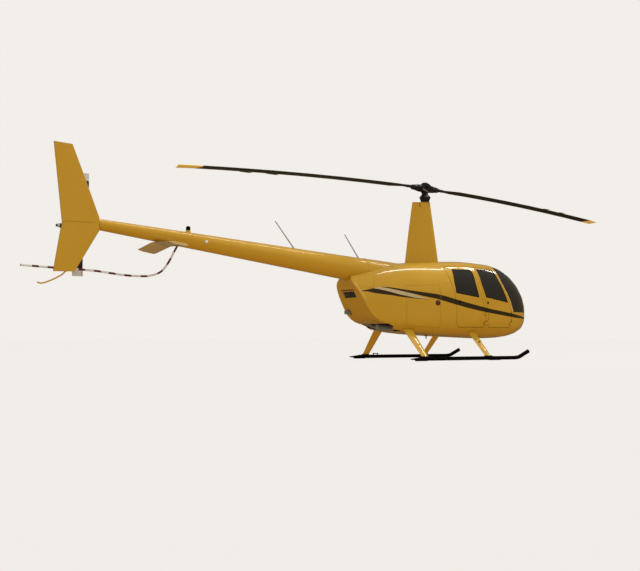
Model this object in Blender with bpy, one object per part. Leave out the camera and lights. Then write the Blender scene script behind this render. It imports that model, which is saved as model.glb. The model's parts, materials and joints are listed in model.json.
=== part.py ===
"""Four-seat light helicopter on skids, with a two-blade main rotor and a two-blade tail rotor.

Metres. +X points to the nose, +Y to port (left) and +Z up. Every x in the sizes below is measured from
the main rotor mast, and every z from a level just above the ground. The whole machine then stands
AHEAD of the origin by a fixed length, so that the origin lies on the ground under the middle of its box.
"""

import math

import bmesh
import bpy
import numpy as np
from mathutils import Matrix, Vector

AHEAD = 0.945
GROUND_Z = -0.018
TOUCH = 0.0003  # gap between two pieces that touch
SWING = 0.006  # gap round a door

# Fuselage
SIDES = ("left", "right")
WALL = 0.035
COWL_SKIN = 0.015
PANE = 0.008
RING_POINTS = 40
NOSE_ROOT, NOSE_LENGTH = 1.0, 1.055
WAIST_AT_NOSE = 0.80
FLOOR_Z = 0.45
CABIN_SPLIT_Z = 1.30
FIREWALL = (-0.02, 0.01)  # rear and front face
# Columns: x, keel z, crown z, half width, z of the widest line, roundness of the lower half
SECTIONS = (
    (-1.8, 0.64, 1.37, 0.31, 0.97, 4.0),
    (-1.4, 0.56, 1.46, 0.41, 0.94, 4.5),
    (-1.0, 0.495, 1.555, 0.50, 0.91, 5.0),
    (-0.6, 0.435, 1.622, 0.575, 0.88, 5.0),
    (-0.2, 0.400, 1.650, 0.625, 0.86, 4.0),
    (0.2, 0.376, 1.677, 0.64, 0.84, 3.4),
    (0.6, 0.358, 1.690, 0.64, 0.82, 3.0),
    (1.0, 0.342, 1.668, 0.64, 0.80, 3.0),
)
UPPER_POWER = 2.7
ROUND_FROM_X = -0.6  # behind this the upper half grows rounder
# Side view outlines, columns x, z
WINDSHIELD = (
    (2.4, 0.80), (1.47, 0.80), (1.405, 0.96), (1.263, 1.223), (1.205, 1.338), (1.181, 1.415), (1.170, 1.50),
    (1.168, 1.565), (1.19, 1.60), (1.42, 1.665), (1.42, 2.0), (2.4, 2.0),
)
FRONT_DOOR = (
    (0.90, 0.53), (1.36, 0.53), (1.405, 0.58), (1.405, 0.80), (1.38, 0.94), (1.335, 1.04), (1.237, 1.223),
    (1.183, 1.338), (1.158, 1.43), (1.138, 1.53), (1.09, 1.567), (0.695, 1.575), (0.725, 1.28), (0.785, 1.04),
    (0.86, 0.80), (0.875, 0.56),
)
FRONT_WINDOW = (
    (0.822, 1.045), (1.325, 0.960), (1.212, 1.218), (1.160, 1.338), (1.135, 1.435), (1.113, 1.515), (1.085, 1.54),
    (0.739, 1.542), (0.756, 1.278),
)
REAR_DOOR = (
    (0.27, 0.53), (0.79, 0.53), (0.825, 0.56), (0.81, 0.80), (0.735, 1.04), (0.675, 1.28), (0.652, 1.575),
    (0.10, 1.565), (0.055, 1.53), (0.17, 1.10), (0.20, 0.85), (0.20, 0.62),
)
REAR_WINDOW = (
    (0.202, 1.108), (0.682, 1.038), (0.638, 1.267), (0.632, 1.47), (0.605, 1.525), (0.216, 1.525), (0.187, 1.305),
)
DOOR_HINGE_X = {"front": 1.412, "rear": 0.832}
HINGE_LEVELS = (0.62, 0.78)
HINGE_STAND = 0.0105  # from the skin to the hinge line
KNUCKLE, KNUCKLE_RADIUS = 0.028, 0.0055
# Slanted back of the cowl, columns x, z, from the belly up
COWL_BACK = (
    (-0.90, 0.42), (-0.925, 0.49), (-0.96, 0.55), (-1.05, 0.585), (-1.16, 0.62), (-1.24, 0.665), (-1.31, 0.725),
    (-1.384, 0.835), (-1.466, 0.98), (-1.595, 1.22), (-1.61, 1.28), (-1.60, 1.34), (-1.56, 1.42),
)
COWL_BACK_SKIN = 0.025
BACK_VENT = {"z": 1.07, "width": 0.40, "height": 0.10}
BELLY_OPENING = {"x": (-1.06, -0.70), "half_width": 0.38}
PIPE_END = (-1.44, 0.28, 0.785)
PIPE_RADIUS = 0.036
ENGINE_BASE_Z = 0.62

# Tail
BOOM_FRONT_X, BOOM_REAR_X = -1.26, -5.72
BOOM_SKIN = 0.008
BOOM_SIDES = 28
SADDLE_FRONT_X = -0.30
TAIL_ROTOR_X, TAIL_ROTOR_Y, TAIL_ROTOR_Z = -5.93, 0.21, 2.0265
TAIL_ROTOR_RADIUS = 0.765
FIN_Y = -0.06
FIN_THICKNESS = 0.045
FIN_JOINT_Z = 2.025
UPPER_FIN = (
    (-6.26, FIN_JOINT_Z), (-5.722, FIN_JOINT_Z), (-5.722, 2.105), (-5.962, 2.738), (-6.125, 3.155), (-6.39, 3.175),
)
LOWER_FIN = (
    (-6.375, 1.308), (-6.07, 1.312), (-5.722, 1.915), (-5.722, FIN_JOINT_Z - TOUCH), (-6.26, FIN_JOINT_Z - TOUCH),
)
STABILISER = {"x": (-4.908, -4.596), "half_span": 0.76, "thickness": 0.04, "droop": math.radians(4.0)}

# Main rotor
HUB_Z = 2.955
HUB_TOP_Z = 3.055
ROTOR_RADIUS = 5.03
ROTOR_AZIMUTH = math.radians(12.33)
BLADE_CHORD = 0.254
GRIP_END = 0.315
BLADE_DROOP = 0.20
TEETER = math.radians(0.27)  # the front blade hangs lower
MAST_RADIUS = 0.038
FAIRING_TOP_Z = 2.70
FAIRING_SKIN = 0.008
GEARBOX_TOP_Z = 1.86

# Landing gear
TRACK = 1.995
SKID_RADIUS = 0.0325
SHOE = 0.004
SADDLE_RISE = 0.040
SKID_X = (-0.956, 1.194, 1.42)  # rear end, foot of the upturn, tip
SKID_TAPER = 0.20
SKID_TIP_Z = 0.120
# Columns: name, x at the foot, x at the top, half track at the top, chord at the foot, chord at the top
LEGS = (("rear", -0.653, -0.672, 0.50, 0.125, 0.185), ("front", 0.607, 0.605, 0.48, 0.110, 0.155))
LEG_TOP_Z = 0.52

# Colours, linear red, green, blue
YELLOW = (0.55, 0.33, 0.03)
BLACK = (0.012, 0.012, 0.013)
DARK_GREY = (0.05, 0.05, 0.055)
GREY = (0.30, 0.30, 0.31)
WHITE = (0.75, 0.75, 0.74)
RED = (0.32, 0.02, 0.02)
SMOKE = (0.02, 0.025, 0.03)
TRIM = (0.06, 0.06, 0.065)


def clear_scene():
    for item in list(bpy.data.objects):
        bpy.data.objects.remove(item)


def collection(name):
    made = bpy.data.collections.new(name)
    bpy.context.scene.collection.children.link(made)
    return made


clear_scene()
PARTS = collection("light_helicopter")
CUTTERS = collection("cutters")


def material(name, colour, roughness, metallic=0.0):
    made = bpy.data.materials.get(name) or bpy.data.materials.new(name)
    made.use_nodes = True
    shader = made.node_tree.nodes["Principled BSDF"]
    shader.inputs["Base Color"].default_value = (*colour, 1.0)
    shader.inputs["Roughness"].default_value = roughness
    shader.inputs["Metallic"].default_value = metallic
    return made


PAINT = material("yellow_paint", YELLOW, 0.3)
DARK = material("black_parts", BLACK, 0.5)
METAL = material("bare_metal", GREY, 0.4, 0.9)
GLASS = material("smoked_acrylic", SMOKE, 0.05)
CLOTH = material("trim_cloth", TRIM, 0.9)
PALE = material("white_paint", WHITE, 0.4)
STRIPED = material("guard_red", RED, 0.4)
PLASTIC = material("interior_plastic", DARK_GREY, 0.7)


# Mesh helpers

def from_bmesh(name, mesh_data, look=None, group=None):
    bmesh.ops.recalc_face_normals(mesh_data, faces=mesh_data.faces)
    mesh = bpy.data.meshes.new(name)
    mesh_data.to_mesh(mesh)
    mesh_data.free()
    made = bpy.data.objects.new(name, mesh)
    (group or CUTTERS).objects.link(made)
    if look:
        mesh.materials.append(look)
    return made


def loft(name, rings, look=None, group=None, tip=None, split=False):
    """A closed solid through rings of equal length, capped at both ends or brought to a tip point.

    With split, each face between two rings is made as two triangles, so that a twisted one has a set shape.
    """
    data = bmesh.new()
    rows = [[data.verts.new(point) for point in ring] for ring in rings]
    count = len(rows[0])
    for one, two in zip(rows, rows[1:]):
        for i in range(count):
            j = (i + 1) % count
            if split:
                data.faces.new((one[i], one[j], two[j]))
                data.faces.new((one[i], two[j], two[i]))
            else:
                data.faces.new((one[i], one[j], two[j], two[i]))
    data.faces.new(rows[0])
    if tip is None:
        data.faces.new(rows[-1])
    else:
        end = data.verts.new(tip)
        for i in range(count):
            data.faces.new((rows[-1][i], rows[-1][(i + 1) % count], end))
    return from_bmesh(name, data, look, group)


def box(name, low, high, look=None, group=None, bevel=0.0):
    data = bmesh.new()
    bmesh.ops.create_cube(data, size=1.0)
    low, high = Vector(low), Vector(high)
    for vert in data.verts:
        vert.co = (low + high) / 2 + Vector(a * b for a, b in zip(vert.co, high - low))
    if bevel:
        bmesh.ops.bevel(data, geom=data.edges[:], offset=bevel, segments=2, affect="EDGES", profile=0.5)
    return from_bmesh(name, data, look, group)


def rod(name, start, end, radius, end_radius=None, sides=16, look=None, group=None):
    """A cylinder or cone between two points."""
    start, end = Vector(start), Vector(end)
    end_radius = radius if end_radius is None else end_radius
    data = bmesh.new()
    bmesh.ops.create_cone(
        data, cap_ends=True, segments=sides, radius1=radius, radius2=end_radius, depth=(end - start).length
    )
    turn = (end - start).to_track_quat("Z", "Y").to_matrix().to_4x4()
    bmesh.ops.transform(data, matrix=Matrix.Translation((start + end) / 2) @ turn, verts=data.verts)
    return from_bmesh(name, data, look, group)


def prism(name, outline, low_y, high_y, look=None, group=None):
    """A side view outline of (x, z) points, pushed through from low_y to high_y."""
    rings = [[(x, y, z) for x, z in outline] for y in (low_y, high_y)]
    return loft(name, rings, look, group)


def tube(name, points, radius, look, group, resolution=2, closed_caps=True):
    """A round tube along points, as a mesh."""
    curve = bpy.data.curves.new(name + "_path", "CURVE")
    curve.dimensions = "3D"
    curve.bevel_depth = radius
    curve.bevel_resolution = resolution
    curve.use_fill_caps = closed_caps
    line = curve.splines.new("POLY")
    line.points.add(len(points) - 1)
    for spot, point in zip(line.points, points):
        spot.co = (*point, 1.0)
    guide = bpy.data.objects.new(name + "_path", curve)
    CUTTERS.objects.link(guide)
    bpy.context.view_layer.update()
    evaluated = guide.evaluated_get(bpy.context.evaluated_depsgraph_get())
    mesh = bpy.data.meshes.new_from_object(evaluated)
    bpy.data.objects.remove(guide)
    data = bmesh.new()
    data.from_mesh(mesh)
    bmesh.ops.remove_doubles(data, verts=data.verts, dist=1e-5)
    return from_bmesh(name, data, look, group)


def combine(body, other, operation, keep=False):
    """Cuts body with other, joins them or keeps what they share."""
    change = body.modifiers.new(operation.lower(), "BOOLEAN")
    change.operation = operation
    change.object = other
    bpy.context.view_layer.update()
    evaluated = body.evaluated_get(bpy.context.evaluated_depsgraph_get())
    mesh = bpy.data.meshes.new_from_object(evaluated)
    body.modifiers.remove(change)
    body.data = mesh
    if not keep:
        bpy.data.objects.remove(other)
    return body


def copy_of(source, name, look=None, group=None, grow=0.0):
    """A copy of a closed mesh with its surface moved out by grow, or in where grow is negative."""
    mesh = source.data.copy()
    mesh.name = name
    made = bpy.data.objects.new(name, mesh)
    (group or CUTTERS).objects.link(made)
    mesh.materials.clear()
    if look:
        mesh.materials.append(look)
    if grow:
        normals = [vert.normal.copy() for vert in mesh.vertices]
        for vert, normal in zip(mesh.vertices, normals):
            vert.co += normal * grow
    return made


def inset(outline, distance):
    """A counterclockwise or clockwise outline with every edge moved in by the distance."""
    points = [np.array(p, float) for p in outline]
    count = len(points)
    area = sum(points[i - 1][0] * points[i][1] - points[i][0] * points[i - 1][1] for i in range(count))
    side = 1.0 if area > 0 else -1.0
    moved = []
    for i in range(count):
        before, here, after = points[i - 1], points[i], points[(i + 1) % count]
        one = (here - before) / np.linalg.norm(here - before)
        two = (after - here) / np.linalg.norm(after - here)
        inward_one = side * np.array([-one[1], one[0]])
        inward_two = side * np.array([-two[1], two[0]])
        middle = inward_one + inward_two
        moved.append(tuple(here + middle * distance * 2 / (middle @ middle)))
    return moved


def short_edges(outline, longest):
    """The outline with points added so that no edge is longer than the given length."""
    points = []
    for here, after in zip(outline, outline[1:] + outline[:1]):
        steps = math.ceil(math.dist(here, after) / longest)
        for k in range(steps):
            points.append(tuple(a + (b - a) * k / steps for a, b in zip(here, after)))
    return points


def shade(item):
    item.data.shade_smooth()
    item.data.set_sharp_from_angle(angle=math.radians(35))


# Fuselage

def smooth_row(x):
    """The section values at x, on a smooth curve through the table."""
    table = np.array(SECTIONS)
    xs = table[:, 0]
    i = int(np.clip(np.searchsorted(xs, x) - 1, 0, len(xs) - 2))
    before, after = table[max(i - 1, 0)], table[min(i + 2, len(xs) - 1)]
    start, end = table[i], table[i + 1]
    span = end[0] - start[0]
    t = (x - start[0]) / span
    slope_start = (end - before) / (end[0] - before[0]) * span
    slope_end = (after - start) / (after[0] - start[0]) * span
    a, b = 2 * t**3 - 3 * t**2 + 1, t**3 - 2 * t**2 + t
    c, d = -2 * t**3 + 3 * t**2, t**3 - t**2
    return (a * start + b * slope_start + c * end + d * slope_end)[1:]


def section(x):
    """Keel z, crown z, half width, waist z and lower roundness of the fuselage at x."""
    if x <= NOSE_ROOT:
        return smooth_row(x)
    keel, crown, half_width, waist, roundness = SECTIONS[-1][1:]
    u = min((x - NOSE_ROOT) / NOSE_LENGTH, 1.0)
    crown = waist + (crown - waist) * (1 - u**2.2) ** (1 / 1.4)
    keel = waist - (waist - keel) * (1 - u**2.7) ** (1 / 2.7)
    return keel, crown, half_width * math.sqrt(1 - u**1.9), waist, roundness


def upper_power(x):
    """How square the upper half is at x."""
    return UPPER_POWER - 0.6 * max(ROUND_FROM_X - x, 0.0)


def ring(x):
    keel, crown, half_width, waist, roundness = section(x)
    points = []
    for k in range(RING_POINTS):
        angle = 2 * math.pi * k / RING_POINTS
        across, up = math.cos(angle), math.sin(angle)
        power = 2 / (upper_power(x) if up > 0 else roundness)
        y = half_width * math.copysign(abs(across) ** power, across)
        reach = crown - waist if up > 0 else waist - keel
        points.append((x, y, waist + reach * math.copysign(abs(up) ** power, up)))
    return points


def fuselage_form():
    straight = list(np.arange(SECTIONS[0][0], NOSE_ROOT - 0.01, 0.2))
    nose = [NOSE_ROOT + NOSE_LENGTH * math.sin(math.radians(a)) for a in (0, 10, 21, 32, 43, 54, 64, 73, 80, 85.5)]
    rings = [ring(x) for x in straight + nose]
    return loft("fuselage_form", rings, tip=(NOSE_ROOT + NOSE_LENGTH, 0, WAIST_AT_NOSE))


def half_space(name, low_x=-9.0, high_x=9.0, low_z=-1.0, high_z=6.0, low_y=-3.0, high_y=3.0):
    return box(name, (low_x, low_y, low_z), (high_x, high_y, high_z))


def skin_y(x, z):
    """Half width of the skin at a height."""
    keel, crown, half_width, waist, roundness = section(x)
    power, reach = (UPPER_POWER, crown - waist) if z > waist else (roundness, waist - keel)
    return half_width * max(1 - (abs(z - waist) / reach) ** power, 0.0) ** (1 / power)


def hinge_line(where):
    """The x and y of a door's hinge line on the left side."""
    x = DOOR_HINGE_X[where]
    return x, skin_y(x, 0.78) + HINGE_STAND


def doorway(name, where, side, clearance=0.0):
    """A cutter for a door or its opening. Its rear edge leans along the path that the door swings out on."""
    outline = short_edges(FRONT_DOOR if where == "front" else REAR_DOOR, 0.14)
    sign = 1 if side == "left" else -1
    axis_x, axis_y = hinge_line(where)
    low_y, high_y = 0.3, 0.8
    rings = [[], []]
    for (real_x, real_z), (x, z) in zip(outline, inset(outline, clearance) if clearance else outline):
        y = skin_y(real_x, real_z)
        lean = max(axis_y - y + WALL, 0.0) / (axis_x - real_x) if axis_x - real_x > 0.45 else 0.0
        rings[0].append((x + lean * (y - low_y), sign * low_y, z))
        rings[1].append((x - lean * (high_y - y), sign * high_y, z))
    return loft(name, rings, split=True)


def boom_radius(x):
    return 0.0845 + 0.0283 * (x + 5.68)


def boom_height(x):
    return 2.011 - 0.1215 * (x + 5.68)


def boom_cone(name, rear_x, front_x, grow=0.0, sides=BOOM_SIDES, look=None, group=None):
    ends = []
    for x in (rear_x, front_x):
        radius, height = boom_radius(x) + grow, boom_height(x)
        angles = [2 * math.pi * k / sides for k in range(sides)]
        ends.append([(x, radius * math.cos(a), height + radius * math.sin(a)) for a in angles])
    return loft(name, ends, look, group)


def cowl_back_cutter(name, shift=0.0, deep=1.0):
    """Everything behind the slanted back of the cowl, moved forward by shift."""
    line = [(x + shift, z) for x, z in COWL_BACK]
    outline = [(line[0][0], -0.5), *line, (line[-1][0], 2.5), (-2.6, 2.5), (-2.6, -0.5)]
    return prism(name, outline, -deep, deep)


def cabin(form):
    """The hollow cabin with its door and windshield openings, as a tub and a roof."""
    inner = copy_of(form, "cabin_inner", grow=-WALL)
    combine(inner, half_space("above_floor", low_z=FLOOR_Z), "INTERSECT")
    body = copy_of(form, "cabin_body")
    combine(body, inner, "DIFFERENCE")
    combine(body, half_space("ahead_of_firewall", low_x=FIREWALL[0]), "INTERSECT")
    tub = copy_of(body, "cabin_tub", PAINT, PARTS)
    roof = copy_of(body, "cabin_roof", PAINT, PARTS)
    bpy.data.objects.remove(body)
    combine(tub, half_space("below_split", high_z=CABIN_SPLIT_Z), "INTERSECT")
    combine(roof, half_space("above_split", low_z=CABIN_SPLIT_Z + TOUCH), "INTERSECT")
    for piece in (tub, roof):
        for where in DOOR_HINGE_X:
            for side in SIDES:
                combine(piece, doorway("doorway", where, side), "DIFFERENCE")
        combine(piece, prism("windshield_hole", WINDSHIELD, -1.0, 1.0), "DIFFERENCE")
    for where in DOOR_HINGE_X:
        for side in SIDES:
            knuckles(tub, where, side, on_door=False)


def windshield(form):
    """Two panes and the post between them."""
    outer = copy_of(form, "pane_outer")
    combine(outer, copy_of(form, "pane_inner", grow=-PANE), "DIFFERENCE")
    combine(outer, prism("windshield_area", inset(WINDSHIELD, TOUCH), -1.0, 1.0), "INTERSECT")
    post_half = 0.02
    for side, low, high in (("left", post_half, 1.0), ("right", -1.0, -post_half)):
        pane = copy_of(outer, f"windshield_{side}", GLASS, PARTS)
        combine(pane, half_space("pane_half", low_y=low, high_y=high), "INTERSECT")
    bpy.data.objects.remove(outer)
    post = copy_of(form, "windshield_post", PAINT, PARTS)
    combine(post, copy_of(form, "post_inner", grow=-0.03), "DIFFERENCE")
    combine(post, prism("post_area", inset(WINDSHIELD, TOUCH), -0.02 + TOUCH, 0.02 - TOUCH), "INTERSECT")


def knuckles(body, where, side, on_door):
    """The halves of a door's two hinges that belong to the door or to the cabin."""
    sign = 1 if side == "left" else -1
    x, y = hinge_line(where)
    back, root = (0.055, 0.030) if on_door else (-0.020, -0.002)
    inner = skin_y(x, 0.78) - 0.02
    for level in HINGE_LEVELS:
        low = level - KNUCKLE if on_door else level + TOUCH
        high = low + KNUCKLE
        barrel = rod("barrel", (x, sign * y, low), (x, sign * y, high), KNUCKLE_RADIUS, sides=16)
        combine(body, barrel, "UNION")
        for start, end, near in ((x - back, x, y - 0.005), (x - back, x - root, inner)):
            start, end = sorted((start, end))
            near, far = sorted((sign * near, sign * (y + 0.0045)))
            combine(body, box("strap", (start, near, low + 0.0005), (end, far, high - 0.0005)), "UNION")


def door(form, where, side, window):
    """A curved door panel with its window opening and hinge halves, and the pane in it."""
    sign = 1 if side == "left" else -1
    low, high = sorted((sign * 0.25, sign * 1.2))
    panel = copy_of(form, f"door_{where}_{side}", PAINT, PARTS)
    combine(panel, copy_of(form, "door_inner", grow=-WALL), "DIFFERENCE")
    combine(panel, doorway("door_area", where, side, SWING), "INTERSECT")
    combine(panel, prism("window_hole", window, low, high), "DIFFERENCE")
    knuckles(panel, where, side, on_door=True)
    pane = copy_of(form, f"window_{where}_{side}", GLASS, PARTS, grow=-0.008)
    combine(pane, copy_of(form, "window_inner", grow=-0.008 - PANE), "DIFFERENCE")
    combine(pane, prism("window_area", inset(window, TOUCH), low, high), "INTERSECT")


def firewall(form):
    wall = copy_of(form, "firewall", METAL, PARTS, grow=-WALL - TOUCH)
    slab = half_space("firewall_slab", low_x=FIREWALL[0], high_x=FIREWALL[1], low_z=FLOOR_Z + TOUCH)
    combine(wall, slab, "INTERSECT")


def engine_cowl(form):
    """The hollow cowl behind the cabin, with the saddle that takes the boom, and its slanted back panel."""
    outer = copy_of(form, "cowl_outer")
    combine(outer, half_space("behind_cabin", high_x=FIREWALL[0] - TOUCH), "INTERSECT")
    inner = copy_of(form, "cowl_inner", grow=-COWL_SKIN)
    saddle = boom_cone("saddle", BOOM_FRONT_X + TOUCH, SADDLE_FRONT_X, grow=0.004)
    saddle_inner = boom_cone("saddle_inner", BOOM_FRONT_X - 0.05, SADDLE_FRONT_X + 0.02, grow=0.004 - COWL_SKIN)
    boom_space = boom_cone("boom_space", -2.2, BOOM_FRONT_X + TOUCH, grow=TOUCH)
    combine(outer, saddle, "UNION")
    combine(outer, half_space("behind_cabin_again", high_x=FIREWALL[0] - TOUCH), "INTERSECT")
    combine(outer, boom_space, "DIFFERENCE")
    combine(inner, saddle_inner, "UNION")
    combine(inner, half_space("bay_front", high_x=FIREWALL[0] + 0.1), "INTERSECT")
    cowl = copy_of(outer, "engine_cowl", PAINT, PARTS)
    back = copy_of(outer, "cowl_back", PAINT, PARTS)
    combine(cowl, inner, "DIFFERENCE")
    combine(cowl, cowl_back_cutter("cowl_end", COWL_BACK_SKIN), "DIFFERENCE")
    opening = BELLY_OPENING
    half = opening["half_width"]
    combine(cowl, box("belly_opening", (opening["x"][0], -half, 0.2), (opening["x"][1], half, 0.75)), "DIFFERENCE")
    combine(back, cowl_back_cutter("back_front", COWL_BACK_SKIN - TOUCH), "INTERSECT")
    combine(back, cowl_back_cutter("back_end"), "DIFFERENCE")
    vent = BACK_VENT
    low = (-2.0, -vent["width"] / 2, vent["z"] - vent["height"] / 2)
    high = (-1.0, vent["width"] / 2, vent["z"] + vent["height"] / 2)
    combine(back, box("vent_hole", low, high), "DIFFERENCE")
    combine(back, box("belly_opening_rear", (opening["x"][0], -0.6, 0.2), (-0.7, 0.6, 0.75)), "DIFFERENCE")
    _, pipe_y, pipe_z = PIPE_END
    combine(back, rod("pipe_hole", (-1.7, pipe_y, pipe_z), (-1.0, pipe_y, pipe_z), PIPE_RADIUS + 0.012), "DIFFERENCE")
    bpy.data.objects.remove(outer)


def engine():
    """A plain block on four struts from the firewall."""
    rear, front, low_z, high_z = -1.02, -0.20, ENGINE_BASE_Z, 1.0
    block = box("engine", (rear, -0.33, low_z), (front, 0.33, high_z), METAL, PARTS, bevel=0.02)
    for y in (-0.26, 0.26):
        for z in (low_z + 0.08, high_z - 0.08):
            strut = rod("strut", (front - 0.02, y, z), (FIREWALL[0] - TOUCH, y, z), 0.016, sides=12)
            combine(block, strut, "UNION")


def exhaust():
    """The silencer under the engine, with its tail pipe out through the back of the cowl."""
    rear, front = (-1.04, -0.10, 0.527), (-0.735, -0.10, 0.523)
    body = rod("exhaust", rear, front, 0.058, look=METAL, group=PARTS, sides=20)
    for riser_x in (-0.93, -0.79):
        riser = rod("riser", (riser_x, -0.10, 0.51), (riser_x, -0.10, ENGINE_BASE_Z - TOUCH), 0.022, sides=12)
        combine(body, riser, "UNION")
    x, y, z = PIPE_END
    path = [
        (-0.78, -0.10, 0.515), (-0.78, 0.20, 0.53), (-0.80, 0.32, 0.54), (-0.86, 0.375, 0.555), (-0.95, 0.385, 0.60),
        (-1.06, 0.38, 0.67), (-1.18, 0.345, 0.735), (-1.25, 0.30, 0.775), (x + 0.13, y, z), PIPE_END,
    ]
    combine(body, tube("tail_pipe", path, PIPE_RADIUS, METAL, CUTTERS, resolution=3), "UNION")
    combine(body, rod("pipe_bore", (x - 0.05, y, z), (x + 0.09, y, z), PIPE_RADIUS - 0.005), "DIFFERENCE")


# Tail

def tail_boom():
    boom = boom_cone("tail_boom", BOOM_REAR_X, BOOM_FRONT_X, look=PAINT, group=PARTS)
    hollow = boom_cone("boom_inner", BOOM_REAR_X + BOOM_SKIN, BOOM_FRONT_X + 0.1, grow=-BOOM_SKIN)
    combine(boom, hollow, "DIFFERENCE")


def plate(name, outline, low_y, high_y, look):
    """A thin fin whose edges are rounded off, except along the joint of the two fins."""
    made = prism(name, outline, low_y, high_y, look, PARTS)
    data = bmesh.new()
    data.from_mesh(made.data)
    rims = []
    for edge in data.edges:
        one, two = (vert.co for vert in edge.verts)
        at_joint = max(abs(one.z - FIN_JOINT_Z), abs(two.z - FIN_JOINT_Z)) < 0.001
        if abs(one.y - two.y) < 1e-6 and not at_joint:
            rims.append(edge)
    bmesh.ops.bevel(data, geom=rims, offset=0.012, segments=2, affect="EDGES", profile=0.5)
    data.to_mesh(made.data)
    data.free()
    return made


def fins():
    low, high = FIN_Y - FIN_THICKNESS / 2, FIN_Y + FIN_THICKNESS / 2
    plate("upper_fin", UPPER_FIN, low, high, PAINT)
    plate("lower_fin", LOWER_FIN, low, high, PAINT)


def stabiliser():
    rear, front = STABILISER["x"]
    half, thick = STABILISER["half_span"], STABILISER["thickness"]
    rings = []
    for y in (-half, -0.07, 0.07, half):
        drop = max(abs(y) - 0.07, 0) * math.tan(STABILISER["droop"])
        line = []
        for x, rise in (
            (rear, 0.0), (rear + 0.09, 0.42), (front - 0.05, 0.5), (front, 0.0), (front - 0.05, -0.5), (rear + 0.09, -0.42),
        ):
            top = boom_height(x) - boom_radius(x) - TOUCH
            line.append((x, y, top - thick / 2 + rise * thick - drop))
        rings.append(line)
    loft("stabiliser", rings, PAINT, PARTS)


def tail_gearbox():
    """The casting on the end of the boom, with its output to port."""
    x, z = TAIL_ROTOR_X, TAIL_ROTOR_Z
    root_x = BOOM_REAR_X - TOUCH
    start, end = (root_x + 0.03, 0, boom_height(root_x)), (x + 0.02, 0.03, z)
    casting = rod("tail_gearbox", start, end, 0.075, 0.062, look=METAL, group=PARTS)
    combine(casting, half_space("behind_boom", high_x=root_x), "INTERSECT")
    combine(casting, rod("output", (x, -0.03, z), (x, 0.12, z), 0.066), "UNION")
    combine(casting, rod("output_neck", (x, 0.10, z), (x, 0.155, z), 0.03), "UNION")
    slab = half_space("fin_side", high_y=FIN_Y + FIN_THICKNESS / 2 + TOUCH)
    combine(casting, slab, "DIFFERENCE")


def tail_guard():
    """The bent tube that keeps people and ground away from the tail rotor."""
    side = 0.10
    path = (
        (-4.46, 1.84), (-4.515, 1.735), (-4.55, 1.66), (-4.618, 1.52), (-4.705, 1.39), (-4.79, 1.328), (-4.90, 1.295),
        (-5.0, 1.283), (-5.243, 1.287), (-5.488, 1.312), (-5.70, 1.338), (-5.93, 1.353), (-6.345, 1.370), (-6.80, 1.394),
    )
    points = [(x, side * min(1.0, i / 5), z) for i, (x, z) in enumerate(path)]
    guard = tube("tail_guard", points, 0.016, STRIPED, PARTS)
    combine(guard, boom_cone("guard_root", BOOM_REAR_X, BOOM_FRONT_X, grow=TOUCH), "DIFFERENCE")


def tail_skid():
    """The sprung tube under the lower fin."""
    path = (
        (-6.175, 1.33), (-6.25, 1.26), (-6.32, 1.218), (-6.40, 1.178), (-6.48, 1.145), (-6.535, 1.131), (-6.59, 1.143),
    )
    spring = tube("tail_skid", [(x, FIN_Y, z) for x, z in path], 0.011, PAINT, PARTS)
    combine(spring, half_space("under_fin", high_z=LOWER_FIN[0][1] + 0.0015 - TOUCH), "INTERSECT")


def tail_light():
    (low_x, low_z), (high_x, high_z) = LOWER_FIN[0], LOWER_FIN[-1]
    radius, level = 0.032, 1.965
    edge = high_x + (low_x - high_x) * (high_z - level + radius) / (high_z - low_z)
    start, end = (edge - TOUCH, FIN_Y, level), (edge - 0.07, FIN_Y, level)
    rod("tail_light", start, end, radius, 0.018, look=PALE, group=PARTS)


def on_boom(name, x, rake, tall, radius, top_radius, look):
    """A small round fitting that stands on top of the boom."""
    top = boom_height(x) + boom_radius(x)
    start, end = (x - rake * 0.05, 0, top - tall * 0.05), (x + rake, 0, top + tall)
    made = rod(name, start, end, radius, top_radius, look=look, group=PARTS)
    combine(made, boom_cone("boom_surface", BOOM_REAR_X, BOOM_FRONT_X, grow=TOUCH), "DIFFERENCE")


def beacon_and_antennas():
    on_boom("beacon", -4.34, 0.0, 0.095, 0.035, 0.032, DARK)
    on_boom("whip_rear", -2.545, -0.33, 0.42, 0.0125, 0.009, PALE)
    on_boom("whip_front", -1.345, -0.26, 0.38, 0.0125, 0.009, PALE)


# Rotors

def fairing_rings(wall=0.0):
    # Columns: z, rear x, front x, half thickness
    levels = (
        (1.50, -0.430, 0.262, 0.118), (1.64, -0.414, 0.250, 0.115), (2.20, -0.335, 0.165, 0.105),
        (FAIRING_TOP_Z, -0.255, 0.086, 0.095),
    )
    rings = []
    for z, rear, front, half in levels:
        rear, front, half = rear + 3 * wall, front - wall, half - wall
        nose = front - half
        quarter = rear + (nose - rear) * 0.45
        line = [(nose + half * math.cos(a), half * math.sin(a), z) for a in np.radians(np.arange(-90, 91, 22.5))]
        line += [(quarter, half * 0.72, z), (rear, 0.012, z), (rear, -0.012, z), (quarter, -half * 0.72, z)]
        rings.append(line)
    return rings


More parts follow.
